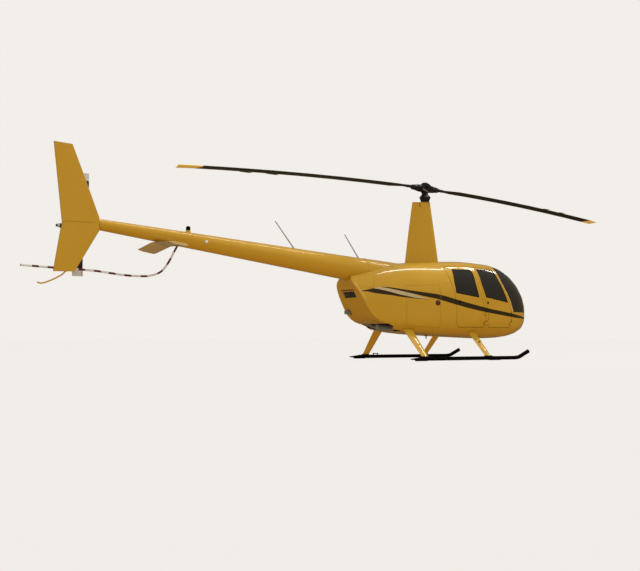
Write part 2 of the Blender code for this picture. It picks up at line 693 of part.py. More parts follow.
def mast_fairing(form):
    """The tall streamlined housing of the mast, and the gearbox inside its foot."""
    housing = loft("mast_fairing", fairing_rings(), PAINT, PARTS)
    hollow = loft("fairing_inner", fairing_rings(FAIRING_SKIN))
    combine(hollow, half_space("below_cap", high_z=FAIRING_TOP_Z - FAIRING_SKIN), "INTERSECT")
    combine(housing, hollow, "DIFFERENCE")
    combine(housing, copy_of(form, "roof_form", grow=TOUCH), "DIFFERENCE")
    combine(housing, rod("mast_bore", (0, 0, 2.5), (0, 0, 3.0), MAST_RADIUS + 0.008, sides=20), "DIFFERENCE")
    foot, top = (-0.02, 0, 1.5), (-0.02, 0, GEARBOX_TOP_Z)
    gearbox = rod("main_gearbox", foot, top, 0.092, 0.08, sides=20, look=METAL, group=PARTS)
    combine(gearbox, copy_of(form, "gearbox_form", grow=TOUCH), "DIFFERENCE")


def rotor_mast():
    bottom = (0, 0, GEARBOX_TOP_Z + TOUCH)
    rod("rotor_mast", bottom, (0, 0, HUB_Z - 0.075), MAST_RADIUS, sides=20, look=METAL, group=PARTS)


def swashplate():
    """The tilting plate on its standpipe round the mast."""
    inner = MAST_RADIUS + 0.005
    profile = (
        (inner, FAIRING_TOP_Z + TOUCH), (0.074, FAIRING_TOP_Z + TOUCH), (0.074, 2.735), (0.099, 2.80), (0.06, 2.845),
        (0.048, 2.87), (inner, 2.87),
    )
    angles = [2 * math.pi * k / 24 for k in range(24)]
    data = bmesh.new()
    rows = [[data.verts.new((r * math.cos(a), r * math.sin(a), z)) for a in angles] for r, z in profile]
    for one, two in zip(rows, rows[1:] + rows[:1]):
        for i in range(24):
            j = (i + 1) % 24
            data.faces.new((one[i], one[j], two[j], two[i]))
    from_bmesh("swashplate", data, DARK, PARTS)


def along_blade(sign):
    """A turn about the mast that carries +X to the blade's own direction."""
    return Matrix.Rotation(ROTOR_AZIMUTH + (0 if sign > 0 else math.pi), 4, "Z")


def blade_section(chord, thickness):
    """Aerofoil points (across, up), leading edge first, quarter chord at zero."""
    shape = (
        (0.25, 0.0), (0.20, 0.36), (0.05, 0.5), (-0.25, 0.36), (-0.75, 0.0), (-0.25, -0.22), (0.05, -0.38), (0.20, -0.30),
    )
    return [(across * chord, up * thickness) for across, up in shape]


def main_blade(name, sign):
    # Columns: distance from the mast, chord, thickness
    stations = (
        (GRIP_END + TOUCH, 0.075, 0.062), (0.50, 0.095, 0.05), (0.72, BLADE_CHORD, 0.034), (1.3, BLADE_CHORD, 0.030),
        (2.0, BLADE_CHORD, 0.030), (2.7, BLADE_CHORD, 0.030), (3.4, BLADE_CHORD, 0.030), (4.1, BLADE_CHORD, 0.028),
        (4.65, BLADE_CHORD, 0.026), (ROTOR_RADIUS, BLADE_CHORD, 0.016),
    )
    rings = []
    for reach, chord, thick in stations:
        level = HUB_Z - BLADE_DROOP * (reach / ROTOR_RADIUS) ** 1.85 - sign * reach * math.tan(TEETER)
        rake = 0.09 if reach == ROTOR_RADIUS else 0.0
        offset = 0.15 * chord
        line = blade_section(chord, thick)
        rings.append([(reach - rake * (0.25 - y / chord), y + offset, level + z) for y, z in line])
    blade = loft(name, rings, DARK, PARTS)
    blade.data.transform(along_blade(sign))


def rotor_hub():
    """The teetering block with its cap, the blade grips, and the pitch horns on their leading sides."""
    hub = box("rotor_hub", (-0.13, -0.05, HUB_Z - 0.045), (0.13, 0.05, HUB_Z + 0.05), DARK, PARTS, bevel=0.012)
    combine(hub, rod("hub_cap", (0, 0, HUB_Z - 0.075 + TOUCH), (0, 0, HUB_TOP_Z), 0.062, 0.05, sides=20), "UNION")
    combine(hub, rod("teeter_bolt", (0, -0.085, HUB_Z + 0.03), (0, 0.085, HUB_Z + 0.03), 0.022), "UNION")
    for sign in (1, -1):
        tilt = -sign * math.tan(TEETER)
        end = sign * (GRIP_END - TOUCH)
        combine(hub, rod("boot", (sign * 0.09, 0, HUB_Z), (sign * 0.20, 0, HUB_Z + 0.20 * tilt), 0.064, 0.058), "UNION")
        combine(hub, rod("grip", (sign * 0.19, 0, HUB_Z), (end, 0, HUB_Z + GRIP_END * tilt), 0.056, 0.042), "UNION")
        low_y, high_y = sorted((0.0, sign * 0.11))
        horn = box("horn", (sign * 0.15 - 0.02, low_y, HUB_Z - 0.03), (sign * 0.15 + 0.02, high_y, HUB_Z - 0.005))
        combine(hub, horn, "UNION")
    hub.data.transform(along_blade(1))


def tail_rotor():
    """The two-blade tail rotor on its short shaft, to port of the gearbox."""
    x, y, z = TAIL_ROTOR_X, TAIL_ROTOR_Y, TAIL_ROTOR_Z
    hub = rod("tail_rotor_hub", (0, -0.055 + TOUCH, 0), (0, 0.05, 0), 0.028, look=DARK, group=PARTS)
    combine(hub, box("hub_bar", (-0.03, -0.018, -0.11), (0.03, 0.022, 0.11), bevel=0.006), "UNION")
    hub.data.transform(Matrix.Translation((x, y, z)))
    # Columns: distance from the hub, chord, thickness
    stations = (
        (0.11 + TOUCH, 0.05, 0.03), (0.17, 0.15, 0.018), (0.45, 0.155, 0.016), (TAIL_ROTOR_RADIUS, 0.155, 0.012),
    )
    for name, sign in (("tail_blade_a", 1), ("tail_blade_b", -1)):
        rings = []
        for reach, chord, thick in stations:
            rings.append([(-a, b + 0.002, reach) for a, b in blade_section(chord, thick)])
        blade = loft(name, rings, PALE, PARTS)
        flip = Matrix.Rotation(0 if sign > 0 else math.pi, 4, "Y")
        blade.data.transform(Matrix.Translation((x, y, z)) @ flip)


# Landing gear

def skid(side):
    sign = 1 if side == "left" else -1
    y = sign * TRACK / 2
    level = GROUND_Z + SHOE + SKID_RADIUS
    rear, bend, tip = SKID_X
    points = [
        (rear + SKID_TAPER, y, level), (bend - 0.08, y, level), (bend - 0.02, y, level + 0.003),
        (bend + 0.03, y, level + 0.013), (tip - 0.02, y, SKID_TIP_Z - 0.004), (tip, y, SKID_TIP_Z + 0.006),
    ]
    runner = tube(f"skid_{side}", points, SKID_RADIUS, DARK, PARTS, resolution=3)
    tail_end = rod("tail_end", (rear + SKID_TAPER + 0.02, y, level), (rear, y, level - 0.004), SKID_RADIUS - 0.0005, 0.007)
    combine(runner, tail_end, "UNION")
    for x in (LEGS[0][1] - 0.1, LEGS[1][1] + 0.1):
        shoe = box("shoe", (x - 0.11, y - 0.018, GROUND_Z), (x + 0.11, y + 0.018, level - 0.012))
        combine(runner, shoe, "UNION")
    for _, foot_x, *_ in LEGS:
        low, high = sorted((y, y - sign * 0.08))
        top = level + SADDLE_RISE
        saddle = box("saddle", (foot_x - 0.062, low, level - 0.012), (foot_x + 0.062, high, top), bevel=0.006)
        combine(runner, saddle, "UNION")


def gear_leg(form_out, where, side):
    """A streamlined leg from the skid to the belly."""
    sign = 1 if side == "left" else -1
    _, foot_x, top_x, top_y, foot_chord, top_chord = next(row for row in LEGS if row[0] == where)
    foot_z = GROUND_Z + SHOE + SKID_RADIUS + SADDLE_RISE + TOUCH
    foot = Vector((foot_x, sign * (TRACK / 2 - 0.055), foot_z))
    top = Vector((top_x, sign * (top_y - 0.06), LEG_TOP_Z))
    half_shape = ((0.46, 0.22), (0.36, 0.38), (0.20, 0.485), (0.02, 0.5), (-0.20, 0.37), (-0.38, 0.19), (-0.5, 0.05))
    shape = ((0.5, 0.0), *half_shape, *((a, -b) for a, b in reversed(half_shape)))
    rings = []
    for at, chord, thick in ((foot, foot_chord, 0.042), (top, top_chord, 0.052)):
        rings.append([(at.x + a * chord, at.y + sign * b * thick, at.z) for a, b in shape])
    leg = loft(f"leg_{where}_{side}", rings, PAINT, PARTS)
    if where == "front":
        middle = (foot + top) / 2
        combine(leg, rod("step", middle, middle + Vector((0, sign * 0.075, 0.009)), 0.015), "UNION")
    combine(leg, form_out, "DIFFERENCE", keep=True)


# Cabin fittings

def l_cushion(name, y_middle, back_x, front_x, base_z, top_z, width=0.44):
    """A cushion and a back in one, as the side outline of a chair."""
    thick = 0.09
    outline = (
        (back_x - 0.09, top_z), (back_x, base_z), (front_x, base_z), (front_x, base_z + thick),
        (back_x + thick + 0.01, base_z + thick), (back_x + 0.01, top_z),
    )
    return prism(name, outline, y_middle - width / 2, y_middle + width / 2, CLOTH, PARTS)


def fittings(form):
    base_z = 0.66
    for side, sign in (("left", 1), ("right", -1)):
        l_cushion(f"cushion_front_{side}", sign * 0.28, 0.80, 1.26, base_z, 1.28)
        l_cushion(f"cushion_rear_{side}", sign * 0.27, 0.125, 0.55, base_z, 1.28)
    bench_top = base_z - TOUCH
    floor = FLOOR_Z + TOUCH
    wall = FIREWALL[1] + TOUCH
    front_outline = (
        (0.74, floor), (1.22, floor), (1.24, bench_top), (0.79, bench_top), (0.69, 1.20), (0.66, 1.20), (0.74, bench_top),
    )
    rear_outline = ((wall, floor), (0.52, floor), (0.54, bench_top), (0.11, bench_top), (0.03, 1.20), (wall, 1.20))
    console_outline = ((1.48, floor), (1.80, floor), (1.72, 0.90), (1.62, 1.00), (1.54, 0.98), (1.50, 0.72))
    front = prism("front_bench", front_outline, -0.50, 0.50, PLASTIC, PARTS)
    rear = prism("rear_bench", rear_outline, -0.50, 0.50, PLASTIC, PARTS)
    console = prism("console", console_outline, -0.16, 0.16, PLASTIC, PARTS)
    for fitting in (front, rear, console):
        combine(fitting, copy_of(form, "fitting_space", grow=-WALL - TOUCH), "INTERSECT")
    stick = rod("cyclic_stick", (1.36, 0, FLOOR_Z - 0.02), (1.40, 0, 0.92), 0.018, sides=12, look=DARK, group=PARTS)
    combine(stick, half_space("above_floor_again", low_z=FLOOR_Z + TOUCH), "INTERSECT")
    combine(stick, rod("cross_bar", (1.40, -0.33, 0.93), (1.40, 0.33, 0.93), 0.014, sides=12), "UNION")
    for sign in (1, -1):
        grip = rod("stick_grip", (1.40, sign * 0.32, 0.84), (1.385, sign * 0.32, 0.98), 0.017, sides=12)
        combine(stick, grip, "UNION")


# Joints: the pieces of each moving body, and where its axis stands

def joint(name, location, children):
    axis = bpy.data.objects.new(name, None)
    PARTS.objects.link(axis)
    axis.location = location
    axis.parent = AIRFRAME
    for child in children:
        piece = bpy.data.objects[child]
        piece.parent = axis
        piece.matrix_parent_inverse = Matrix.Translation(-Vector(location))


def build():
    form = fuselage_form()
    form_out = copy_of(form, "fuselage_plus", grow=TOUCH)
    cabin(form)
    windshield(form)
    for where, window in (("front", FRONT_WINDOW), ("rear", REAR_WINDOW)):
        for side in SIDES:
            door(form, where, side, window)
    firewall(form)
    engine_cowl(form)
    engine()
    exhaust()
    tail_boom()
    fins()
    stabiliser()
    tail_gearbox()
    tail_guard()
    tail_skid()
    tail_light()
    beacon_and_antennas()
    mast_fairing(form)
    rotor_mast()
    swashplate()
    rotor_hub()
    main_blade("main_blade_a", 1)
    main_blade("main_blade_b", -1)
    tail_rotor()
    for side in SIDES:
        skid(side)
        for where in ("rear", "front"):
            gear_leg(form_out, where, side)
    fittings(form)


AIRFRAME = bpy.data.objects.new("airframe", None)
PARTS.objects.link(AIRFRAME)
AIRFRAME.location = (AHEAD, 0, -GROUND_Z)
build()
for item in list(CUTTERS.objects):
    bpy.data.objects.remove(item)
for item in PARTS.objects:
    if item.type == "MESH":
        shade(item)
        item.parent = AIRFRAME
joint("main_rotor_axis", (0, 0, HUB_Z), ("rotor_mast", "rotor_hub", "main_blade_a", "main_blade_b"))
TAIL_HUB = (TAIL_ROTOR_X, TAIL_ROTOR_Y, TAIL_ROTOR_Z)
joint("tail_rotor_axis", TAIL_HUB, ("tail_rotor_hub", "tail_blade_a", "tail_blade_b"))
for where in DOOR_HINGE_X:
    for side, sign in (("left", 1), ("right", -1)):
        x, y = hinge_line(where)
        joint(f"door_{where}_{side}_axis", (x, sign * y, 0.9), (f"door_{where}_{side}", f"window_{where}_{side}"))
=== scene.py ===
"""Looks of the light helicopter: paint, glazing, rotor head, cabin lining and small surface fittings.

Metres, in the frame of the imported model: +X to the nose, +Y to port, +Z up, and the ground is z = 0.
Places that are written as here(x, y, z) are measured from the main rotor mast.
"""

from math import cos, dist, exp, pi, radians, sin, sqrt

import bmesh
import bpy
from mathutils import Matrix, Vector
from mathutils.bvhtree import BVHTree
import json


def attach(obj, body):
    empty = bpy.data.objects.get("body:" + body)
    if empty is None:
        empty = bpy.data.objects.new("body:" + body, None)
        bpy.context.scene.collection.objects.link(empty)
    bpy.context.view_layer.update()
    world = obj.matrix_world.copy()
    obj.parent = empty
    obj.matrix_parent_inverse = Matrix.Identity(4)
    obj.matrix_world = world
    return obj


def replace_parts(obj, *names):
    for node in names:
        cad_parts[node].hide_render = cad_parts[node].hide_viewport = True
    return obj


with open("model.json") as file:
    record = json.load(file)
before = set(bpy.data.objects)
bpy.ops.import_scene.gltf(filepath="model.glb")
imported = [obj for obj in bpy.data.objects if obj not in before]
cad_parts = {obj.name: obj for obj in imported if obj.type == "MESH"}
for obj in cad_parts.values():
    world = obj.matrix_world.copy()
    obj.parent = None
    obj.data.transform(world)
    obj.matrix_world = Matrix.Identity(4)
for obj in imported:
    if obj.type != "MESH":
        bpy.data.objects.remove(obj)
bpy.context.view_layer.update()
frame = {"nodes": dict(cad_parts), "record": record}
NODES = frame["nodes"]

# Frame
MAST = Vector((0.945, 0.0, 0.018))
TO_PORT = Vector((0, 1, 0))
SIDES = {"left": 1, "right": -1}
DOORS = ("front", "rear")
# Edges sharper than these stay crisp, on the pieces made here and on the solids
SHARP_ANGLE, SHALLOW_ANGLE = radians(38), radians(30)

# Camera, as the photograph was taken
CAMERA_AT = (-8.2084, -13.6509, 0.4125)
CAMERA_PITCH, CAMERA_YAW = radians(3.0356), radians(62.5622)
CAMERA_LENS, CAMERA_SENSOR = 52.913, 36.0
BACKDROP = (0.888, 0.855, 0.815, 1.0)

# Surroundings from below, level and above: as soft light, and as seen in gloss
SOFT_LIGHT = ((0.72, 0.51, 0.30, 1.0), (0.62, 0.60, 0.55, 1.0), (0.70, 0.70, 0.70, 1.0))
REFLECTED = ((0.12, 0.075, 0.03, 1.0), (0.20, 0.145, 0.075, 1.0), (0.34, 0.33, 0.30, 1.0))

# Long overhead lamp
STRIP_AT, STRIP_SIZE, STRIP_POWER = (2.0, -0.2, 9.0), (16.0, 0.4), 500.0

# Paint
GOLD = (0.56, 0.312, 0.020, 1.0)
# Paler gold for the windshield strips and the cowl's back rim: a painted highlight along those edges
GOLD_PALE_HIGHLIGHT = (0.74, 0.50, 0.12, 1.0)
LINING = (0.035, 0.028, 0.022, 1.0)
LINING_AXIS_Z, LINING_X, LINING_Z = 0.95, (0.926, 3.0), (0.3, 1.75)
STRIPE_DARK = (0.028, 0.017, 0.003, 1.0)
STRIPE_CREAM = (0.50, 0.40, 0.225, 1.0)
# Stripes on the body's side, columns x, lower edge, upper edge
MAIN_STRIPE = (
    (-0.23, 1.207, 1.211), (-0.07, 1.181, 1.205), (0.10, 1.147, 1.181), (0.27, 1.112, 1.160),
    (0.47, 1.071, 1.137), (0.63, 1.043, 1.118), (0.76, 1.021, 1.104), (0.93, 0.979, 1.073),
    (1.12, 0.934, 1.025), (1.386, 0.876, 0.965), (1.65, 0.827, 0.910), (1.92, 0.786, 0.858),
    (2.22, 0.746, 0.817), (2.47, 0.721, 0.783), (2.79, 0.705, 0.742), (3.00, 0.695, 0.727),
)
THIN_STRIPE = (
    (-0.56, 1.133, 1.139), (-0.45, 1.128, 1.162), (-0.35, 1.105, 1.185), (-0.26, 1.093, 1.172),
    (-0.145, 1.080, 1.148), (-0.025, 1.067, 1.118), (0.094, 1.047, 1.086), (0.216, 1.034, 1.064),
    (0.34, 1.022, 1.038), (0.60, 1.006, 1.011),
)
CREAM_STRIPE = (
    (-0.35, 1.176, 1.178), (-0.23, 1.147, 1.208), (-0.07, 1.117, 1.181), (0.10, 1.077, 1.147),
    (0.27, 1.048, 1.112), (0.38, 1.034, 1.085), (0.50, 1.021, 1.048), (0.60, 1.011, 1.014),
)

# Rotors
ROTOR_AZIMUTH = radians(12.33)
ROTOR_RADIUS = 5.03
HUB_Z = 2.955
BLADE_TIPS = {"main_blade_a": 0.32, "main_blade_b": 0.40}
TAIL_HUB = (-5.93, 0.21, 2.0265)
TAIL_BAND = (0.49, 0.66)

# Tail guard, columns x, y, z, and its bands measured along it from its free end
GUARD_PATH = (
    (-6.800, 0.100, 1.394), (-6.345, 0.100, 1.370), (-5.930, 0.100, 1.353), (-5.700, 0.100, 1.338),
    (-5.488, 0.100, 1.312), (-5.243, 0.100, 1.287), (-5.000, 0.100, 1.283), (-4.900, 0.100, 1.295),
    (-4.790, 0.100, 1.328), (-4.705, 0.080, 1.390), (-4.618, 0.060, 1.520), (-4.550, 0.040, 1.660),
    (-4.515, 0.020, 1.735), (-4.460, 0.000, 1.840),
)
GUARD_RADIUS = 0.016
BAND_CENTRES = (0.2165, 0.4355, 0.6745, 0.8785, 1.1015, 1.3215, 1.5615, 1.8075, 2.0735, 2.2875, 2.5065)
BAND_HALF = 0.0525

# Side view outlines, measured from the mast
WINDOWS = {
    "front": (
        (0.822, 1.045), (1.325, 0.960), (1.212, 1.218), (1.160, 1.338), (1.135, 1.435),
        (1.113, 1.515), (1.085, 1.54), (0.739, 1.542), (0.756, 1.278),
    ),
    "rear": (
        (0.202, 1.108), (0.682, 1.038), (0.638, 1.267), (0.632, 1.47), (0.605, 1.525), (0.216, 1.525),
        (0.187, 1.305),
    ),
}
WINDSHIELD_EDGE = (
    (1.157, 1.505), (1.163, 1.47), (1.172, 1.42), (1.194, 1.338), (1.250, 1.223), (1.388, 0.96),
    (1.438, 0.81),
)
COWL_EDGE = ((-1.568, 1.27), (-1.556, 1.21), (-1.485, 1.08), (-1.43, 0.98))
COWL_SEAMS = {
    "boom_root": ((-1.22, 1.38), (-1.25, 1.30), (-1.285, 1.18), (-1.55, 1.19)),
    "bay_door": ((-0.12, 1.24), (-0.74, 1.22), (-0.74, 0.56), (-0.12, 0.52), (-0.12, 1.24)),
}
FIN_RIVETS = {
    "upper_fin": (
        ((-5.77, 2.12), (-6.00, 2.74), (-6.15, 3.12)),
        ((-6.28, 2.06), (-6.38, 3.12)),
        ((-5.78, 2.05), (-6.22, 2.05)),
    ),
    "lower_fin": (
        ((-5.77, 1.93), (-6.09, 1.36)),
        ((-6.275, 1.97), (-6.36, 1.36)),
        ((-5.78, 2.0), (-6.22, 2.0)),
    ),
}
FIN_JOINT_Z = 2.03
SEAM_RISE = 0.0009
BOOM_END_X, BOOM_END_Z, BOOM_SLOPE = -5.72, 2.0265, 0.116
BOOM_JOINTS = (-5.62, -4.95, -4.25, -3.55, -2.85, -2.15, -1.50)
COWL_JOINT_X = -0.84
# Back panel of the cowl: its foot, its slope and the height of its vent
BACK_FOOT_X, BACK_FOOT_Z, BACK_SLOPE, VENT_Z, BAR_LEAN = -1.466, 0.98, 0.5375, 1.07, -28
STABILISER_RIVETS_X = (-4.865, -4.66)
# Fittings on the side, as x and z in the model's frame
LATCHES = {"front": (1.803, 0.972), "rear": (1.215, 0.985)}
FUEL_CAP = (0.775, 0.956)
# Tail light and beacon, from the mast
TAIL_LIGHT_AT = (-6.2755, -0.06, 1.965)
BEACON_X = -4.34

# Rotor head, columns along and up, and the pitch links
HUB_PLATE = (
    (-0.17, -0.03), (-0.16, 0.02), (-0.08, 0.06), (-0.035, 0.085), (0.035, 0.085), (0.08, 0.06),
    (0.16, 0.02), (0.17, -0.03), (0.10, -0.055), (-0.10, -0.055),
)
HUB_BOLTS = ((-0.13, -0.008), (-0.06, 0.0), (0.06, 0.0), (0.13, -0.008))
STAR_Z = 2.884

# Fairing of the mast at its top: half thickness, front and rear
FAIRING_TOP_Z, FAIRING_HALF, FAIRING_FRONT, FAIRING_REAR = 2.70, 0.095, 0.086, -0.255
FAIRING_SLOTS = ((-0.15, 2.612, 2.688), (0.02, 2.64, 2.688))

# Gear and exhaust, from the mast
SKID_Y, SKID_TOP_Z = 0.9975, 0.051
LEG_FOOT_X = (-0.653, 0.607)
SILENCER = ((-1.04, -0.10, 0.527), (-0.735, -0.10, 0.523))
SILENCER_RADIUS = 0.058
PIPE_END, PIPE_RADIUS = (-1.44, 0.28, 0.785), 0.036

# Pads: name, middle across, and the squab's rear and front. The other measures are shared
CUSHIONS = (
    ("front_left", 0.28, 0.80, 1.26), ("front_right", -0.28, 0.80, 1.26),
    ("rear_left", 0.27, 0.125, 0.55), ("rear_right", -0.27, 0.125, 0.55),
)
PAD_BASE_Z, PAD_TOP_Z, PAD_WIDTH, PAD_THICK = 0.66, 1.28, 0.44, 0.09
# Hood over the dials, in side view
HOOD_EDGE = (
    (1.50, 0.985), (1.545, 1.012), (1.625, 1.022), (1.70, 0.955), (1.70, 0.94), (1.62, 1.008),
    (1.55, 0.995),
)


def here(x, y, z):
    """A point measured from the mast."""
    return MAST + Vector((x, y, z))


def moved(point):
    return Matrix.Translation(point)


def rotated(axis, degrees):
    return Matrix.Rotation(radians(degrees), 4, axis)


# Node trees

def wire(tree, value, socket):
    """Sets a socket to a plain value, or joins another node's output to it."""
    if isinstance(value, bpy.types.NodeSocket):
        tree.links.new(value, socket)
    else:
        socket.default_value = value


def add(tree, kind, inputs=(), **settings):
    made = tree.nodes.new(kind)
    for key, value in settings.items():
        setattr(made, key, value)
    for slot, value in dict(inputs).items():
        wire(tree, value, made.inputs[slot])
    return made


def maths(tree, operation, *values):
    made = add(tree, "ShaderNodeMath", operation=operation)
    for socket, value in zip(made.inputs, values):
        wire(tree, value, socket)
    return made.outputs[0]


def plus(tree, one, two):
    return maths(tree, "ADD", one, two)


def minus(tree, one, two):
    return maths(tree, "SUBTRACT", one, two)


def times(tree, one, two):
    return maths(tree, "MULTIPLY", one, two)


def ratio(tree, one, two):
    return maths(tree, "DIVIDE", one, two)


def mixed(tree, factor, first, second):
    made = add(tree, "ShaderNodeMix", {0: factor, 6: first, 7: second}, data_type="RGBA")
    return made.outputs[2]


def place(tree):
    """The point's x, y and z in metres, in the piece's own space."""
    coordinate = add(tree, "ShaderNodeTexCoord").outputs["Object"]
    return add(tree, "ShaderNodeSeparateXYZ", {0: coordinate}).outputs


def noise(tree, scale, detail=2.0):
    coordinate = add(tree, "ShaderNodeTexCoord").outputs["Object"]
    made = add(tree, "ShaderNodeTexNoise", {"Vector": coordinate, "Scale": scale, "Detail": detail})
    return made.outputs["Fac"]


def between(tree, value, low, high, soft=0.002):
    """1 where value lies between low and high, else 0, with a thin soft edge."""
    over = ratio(tree, minus(tree, value, low), soft)
    under = ratio(tree, minus(tree, high, value), soft)
    both = maths(tree, "MINIMUM", over, under)
    return add(tree, "ShaderNodeClamp", {"Value": both}).outputs[0]


def edge_line(tree, x, points):
    """The z of an edge at x, from a table of points."""
    first, last = points[0][0], points[-1][0]
    low = min(z for _, z in points) - 0.01
    tall = max(z for _, z in points) + 0.01 - low
    share = ratio(tree, minus(tree, x, first), last - first)
    curve = add(tree, "ShaderNodeFloatCurve", {"Value": share})
    line = curve.mapping.curves[0]
    line.points[0].location = (0.0, (points[0][1] - low) / tall)
    line.points[1].location = (1.0, (points[-1][1] - low) / tall)
    for px, pz in points[1:-1]:
        line.points.new((px - first) / (last - first), (pz - low) / tall)
    for point in line.points:
        point.handle_type = "VECTOR"
    curve.mapping.update()
    return plus(tree, times(tree, curve.outputs[0], tall), low)


def stripe(tree, x, z, table):
    """1 inside a stripe that is given by a table of x, lower edge and upper edge."""
    low = edge_line(tree, x, [(row[0], row[1]) for row in table])
    high = edge_line(tree, x, [(row[0], row[2]) for row in table])
    return times(tree, between(tree, z, low, high), between(tree, x, table[0][0], table[-1][0]))


def new_material(name, colour=(0.5, 0.5, 0.5, 1.0), roughness=0.4, metallic=0.0, coat=0.0, specular=0.5):
    made = bpy.data.materials.new(name)
    made.use_nodes = True
    tree = made.node_tree
    shader = tree.nodes["Principled BSDF"]
    shader.inputs["Base Color"].default_value = colour
    shader.inputs["Roughness"].default_value = roughness
    shader.inputs["Metallic"].default_value = metallic
    shader.inputs["Specular IOR Level"].default_value = specular
    shader.inputs["Coat Weight"].default_value = coat
    shader.inputs["Coat Roughness"].default_value = 0.06
    return made, tree, shader


def bump(tree, shader, height, strength, distance):
    made = add(tree, "ShaderNodeBump", {"Height": height, "Strength": strength, "Distance": distance})
    wire(tree, made.outputs[0], shader.inputs["Normal"])


def shaded(tree, colour, dark, amount, scale, detail=3.0):
    """A colour with soft darker patches over part of it."""
    patches = noise(tree, scale, detail)
    weight = times(tree, maths(tree, "SMOOTH_MIN", patches, 1.0, 0.2), amount)
    return mixed(tree, weight, colour, dark)


# Materials

def gold_paint(name="gold_paint", marks=None, base=GOLD, hollow=False):
    """Gloss paint with a faint cloudiness, the ripple of sprayed enamel, and any marks painted over it.

    A hollow body also gets the dark lining on its inner faces.
    """
    made, tree, shader = new_material(name, base, 0.34, coat=0.8, specular=0.15)
    colour = shaded(tree, base, (base[0] * 0.78, base[1] * 0.7, base[2] * 0.6, 1.0), 0.3, 2.2)
    if marks:
        colour = marks(tree, colour)
    if hollow:
        colour = lined(tree, colour)
    wire(tree, colour, shader.inputs["Base Color"])
    ripple = plus(tree, noise(tree, 260.0, 1.0), times(tree, noise(tree, 9.0, 1.0), 6.0))
    bump(tree, shader, ripple, 0.06, 0.002)
    rough = plus(tree, 0.28, times(tree, noise(tree, 14.0), 0.14))
    wire(tree, rough, shader.inputs["Roughness"])
    return made


def lined(tree, colour):
    """The dark inner lining, on the faces of a hollow body that look in towards its middle line."""
    coordinate = add(tree, "ShaderNodeTexCoord")
    spot = add(tree, "ShaderNodeSeparateXYZ", {0: coordinate.outputs["Object"]}).outputs
    facing = add(tree, "ShaderNodeSeparateXYZ", {0: coordinate.outputs["Normal"]}).outputs
    across = times(tree, spot[1], facing[1])
    level = times(tree, minus(tree, spot[2], LINING_AXIS_Z), facing[2])
    inward = between(tree, plus(tree, across, level), -9.0, -0.10, 0.05)
    near = times(tree, between(tree, spot[0], *LINING_X), between(tree, spot[2], *LINING_Z))
    return mixed(tree, times(tree, inward, near), colour, LINING)


def striped_marks(tree, colour):
    x, _, z = place(tree)
    stripes = ((CREAM_STRIPE, STRIPE_CREAM), (THIN_STRIPE, STRIPE_DARK), (MAIN_STRIPE, STRIPE_DARK))
    for table, look in stripes:
        colour = mixed(tree, stripe(tree, x, z, table), colour, look)
    return colour


def blade_paint(node):
    """Satin black blade with a gold tip."""
    made, tree, shader = new_material(f"paint_{node}", (0.015, 0.015, 0.014, 1.0), 0.42, specular=0.15)
    x, y, _ = place(tree)
    along = times(tree, minus(tree, x, MAST.x), cos(ROTOR_AZIMUTH))
    along = maths(tree, "ABSOLUTE", plus(tree, along, times(tree, y, sin(ROTOR_AZIMUTH))))
    tip = between(tree, along, ROTOR_RADIUS - BLADE_TIPS[node], 9.0)
    black = shaded(tree, (0.010, 0.010, 0.007, 1.0), (0.028, 0.022, 0.012, 1.0), 0.5, 6.0)
    gold = shaded(tree, (1.0, 0.75, 0.20, 1.0), (0.80, 0.52, 0.12, 1.0), 0.5, 9.0)
    wire(tree, mixed(tree, tip, black, gold), shader.inputs["Base Color"])
    bump(tree, shader, noise(tree, 120.0), 0.05, 0.001)
    return made


def tail_blade_paint():
    """White tail blade with a black band outboard of its middle."""
    made, tree, shader = new_material("tail_blade_paint", roughness=0.35, coat=0.3)
    x, _, z = place(tree)
    centre = here(*TAIL_HUB)
    along, up = minus(tree, x, centre.x), minus(tree, z, centre.z)
    away = [maths(tree, "POWER", value, 2.0) for value in (along, up)]
    reach = maths(tree, "SQRT", plus(tree, *away))
    white = shaded(tree, (0.68, 0.67, 0.65, 1.0), (0.5, 0.49, 0.47, 1.0), 0.4, 14.0)
    band = between(tree, reach, *TAIL_BAND)
    flipped = maths(tree, "SIGN", minus(tree, z, centre.z))
    across = times(tree, minus(tree, x, centre.x), flipped)
    dark = maths(tree, "MAXIMUM", band, between(tree, across, -1.0, -0.024))
    wire(tree, mixed(tree, dark, white, (0.012, 0.012, 0.012, 1.0)), shader.inputs["Base Color"])
    bump(tree, shader, noise(tree, 160.0), 0.04, 0.001)
    return made


def plain(name, colour, roughness=0.45, metallic=0.0, coat=0.0, patch=0.35, grain=120.0, grain_depth=0.06,
          scale=12.0, specular=0.5):
    """A painted, cast or moulded surface: mottled colour, fine grain, uneven gloss."""
    made, tree, shader = new_material(name, colour, roughness, metallic, coat, specular)
    dark = tuple(c * 0.6 for c in colour[:3]) + (1.0,)
    wire(tree, shaded(tree, colour, dark, patch, scale), shader.inputs["Base Color"])
    rough = plus(tree, roughness - 0.07, times(tree, noise(tree, scale * 2), 0.14))
    wire(tree, rough, shader.inputs["Roughness"])
    bump(tree, shader, noise(tree, grain, 3.0), grain_depth, 0.001)
    return made


def smoked_glass():
    """Tinted acrylic: dark, glossy, and partly clear."""
    made, tree, shader = new_material("smoked_acrylic", (0.026, 0.024, 0.020, 1.0), 0.05)
    shader.inputs["IOR"].default_value = 1.49
    shader.inputs["Alpha"].default_value = 0.80
    bump(tree, shader, noise(tree, 3.0, 1.0), 0.03, 0.004)
    return made


def clear_lens(name, colour, alpha):
    made, tree, shader = new_material(name, colour, 0.08)
    shader.inputs["Alpha"].default_value = alpha
    bump(tree, shader, noise(tree, 60.0), 0.04, 0.001)
    return made


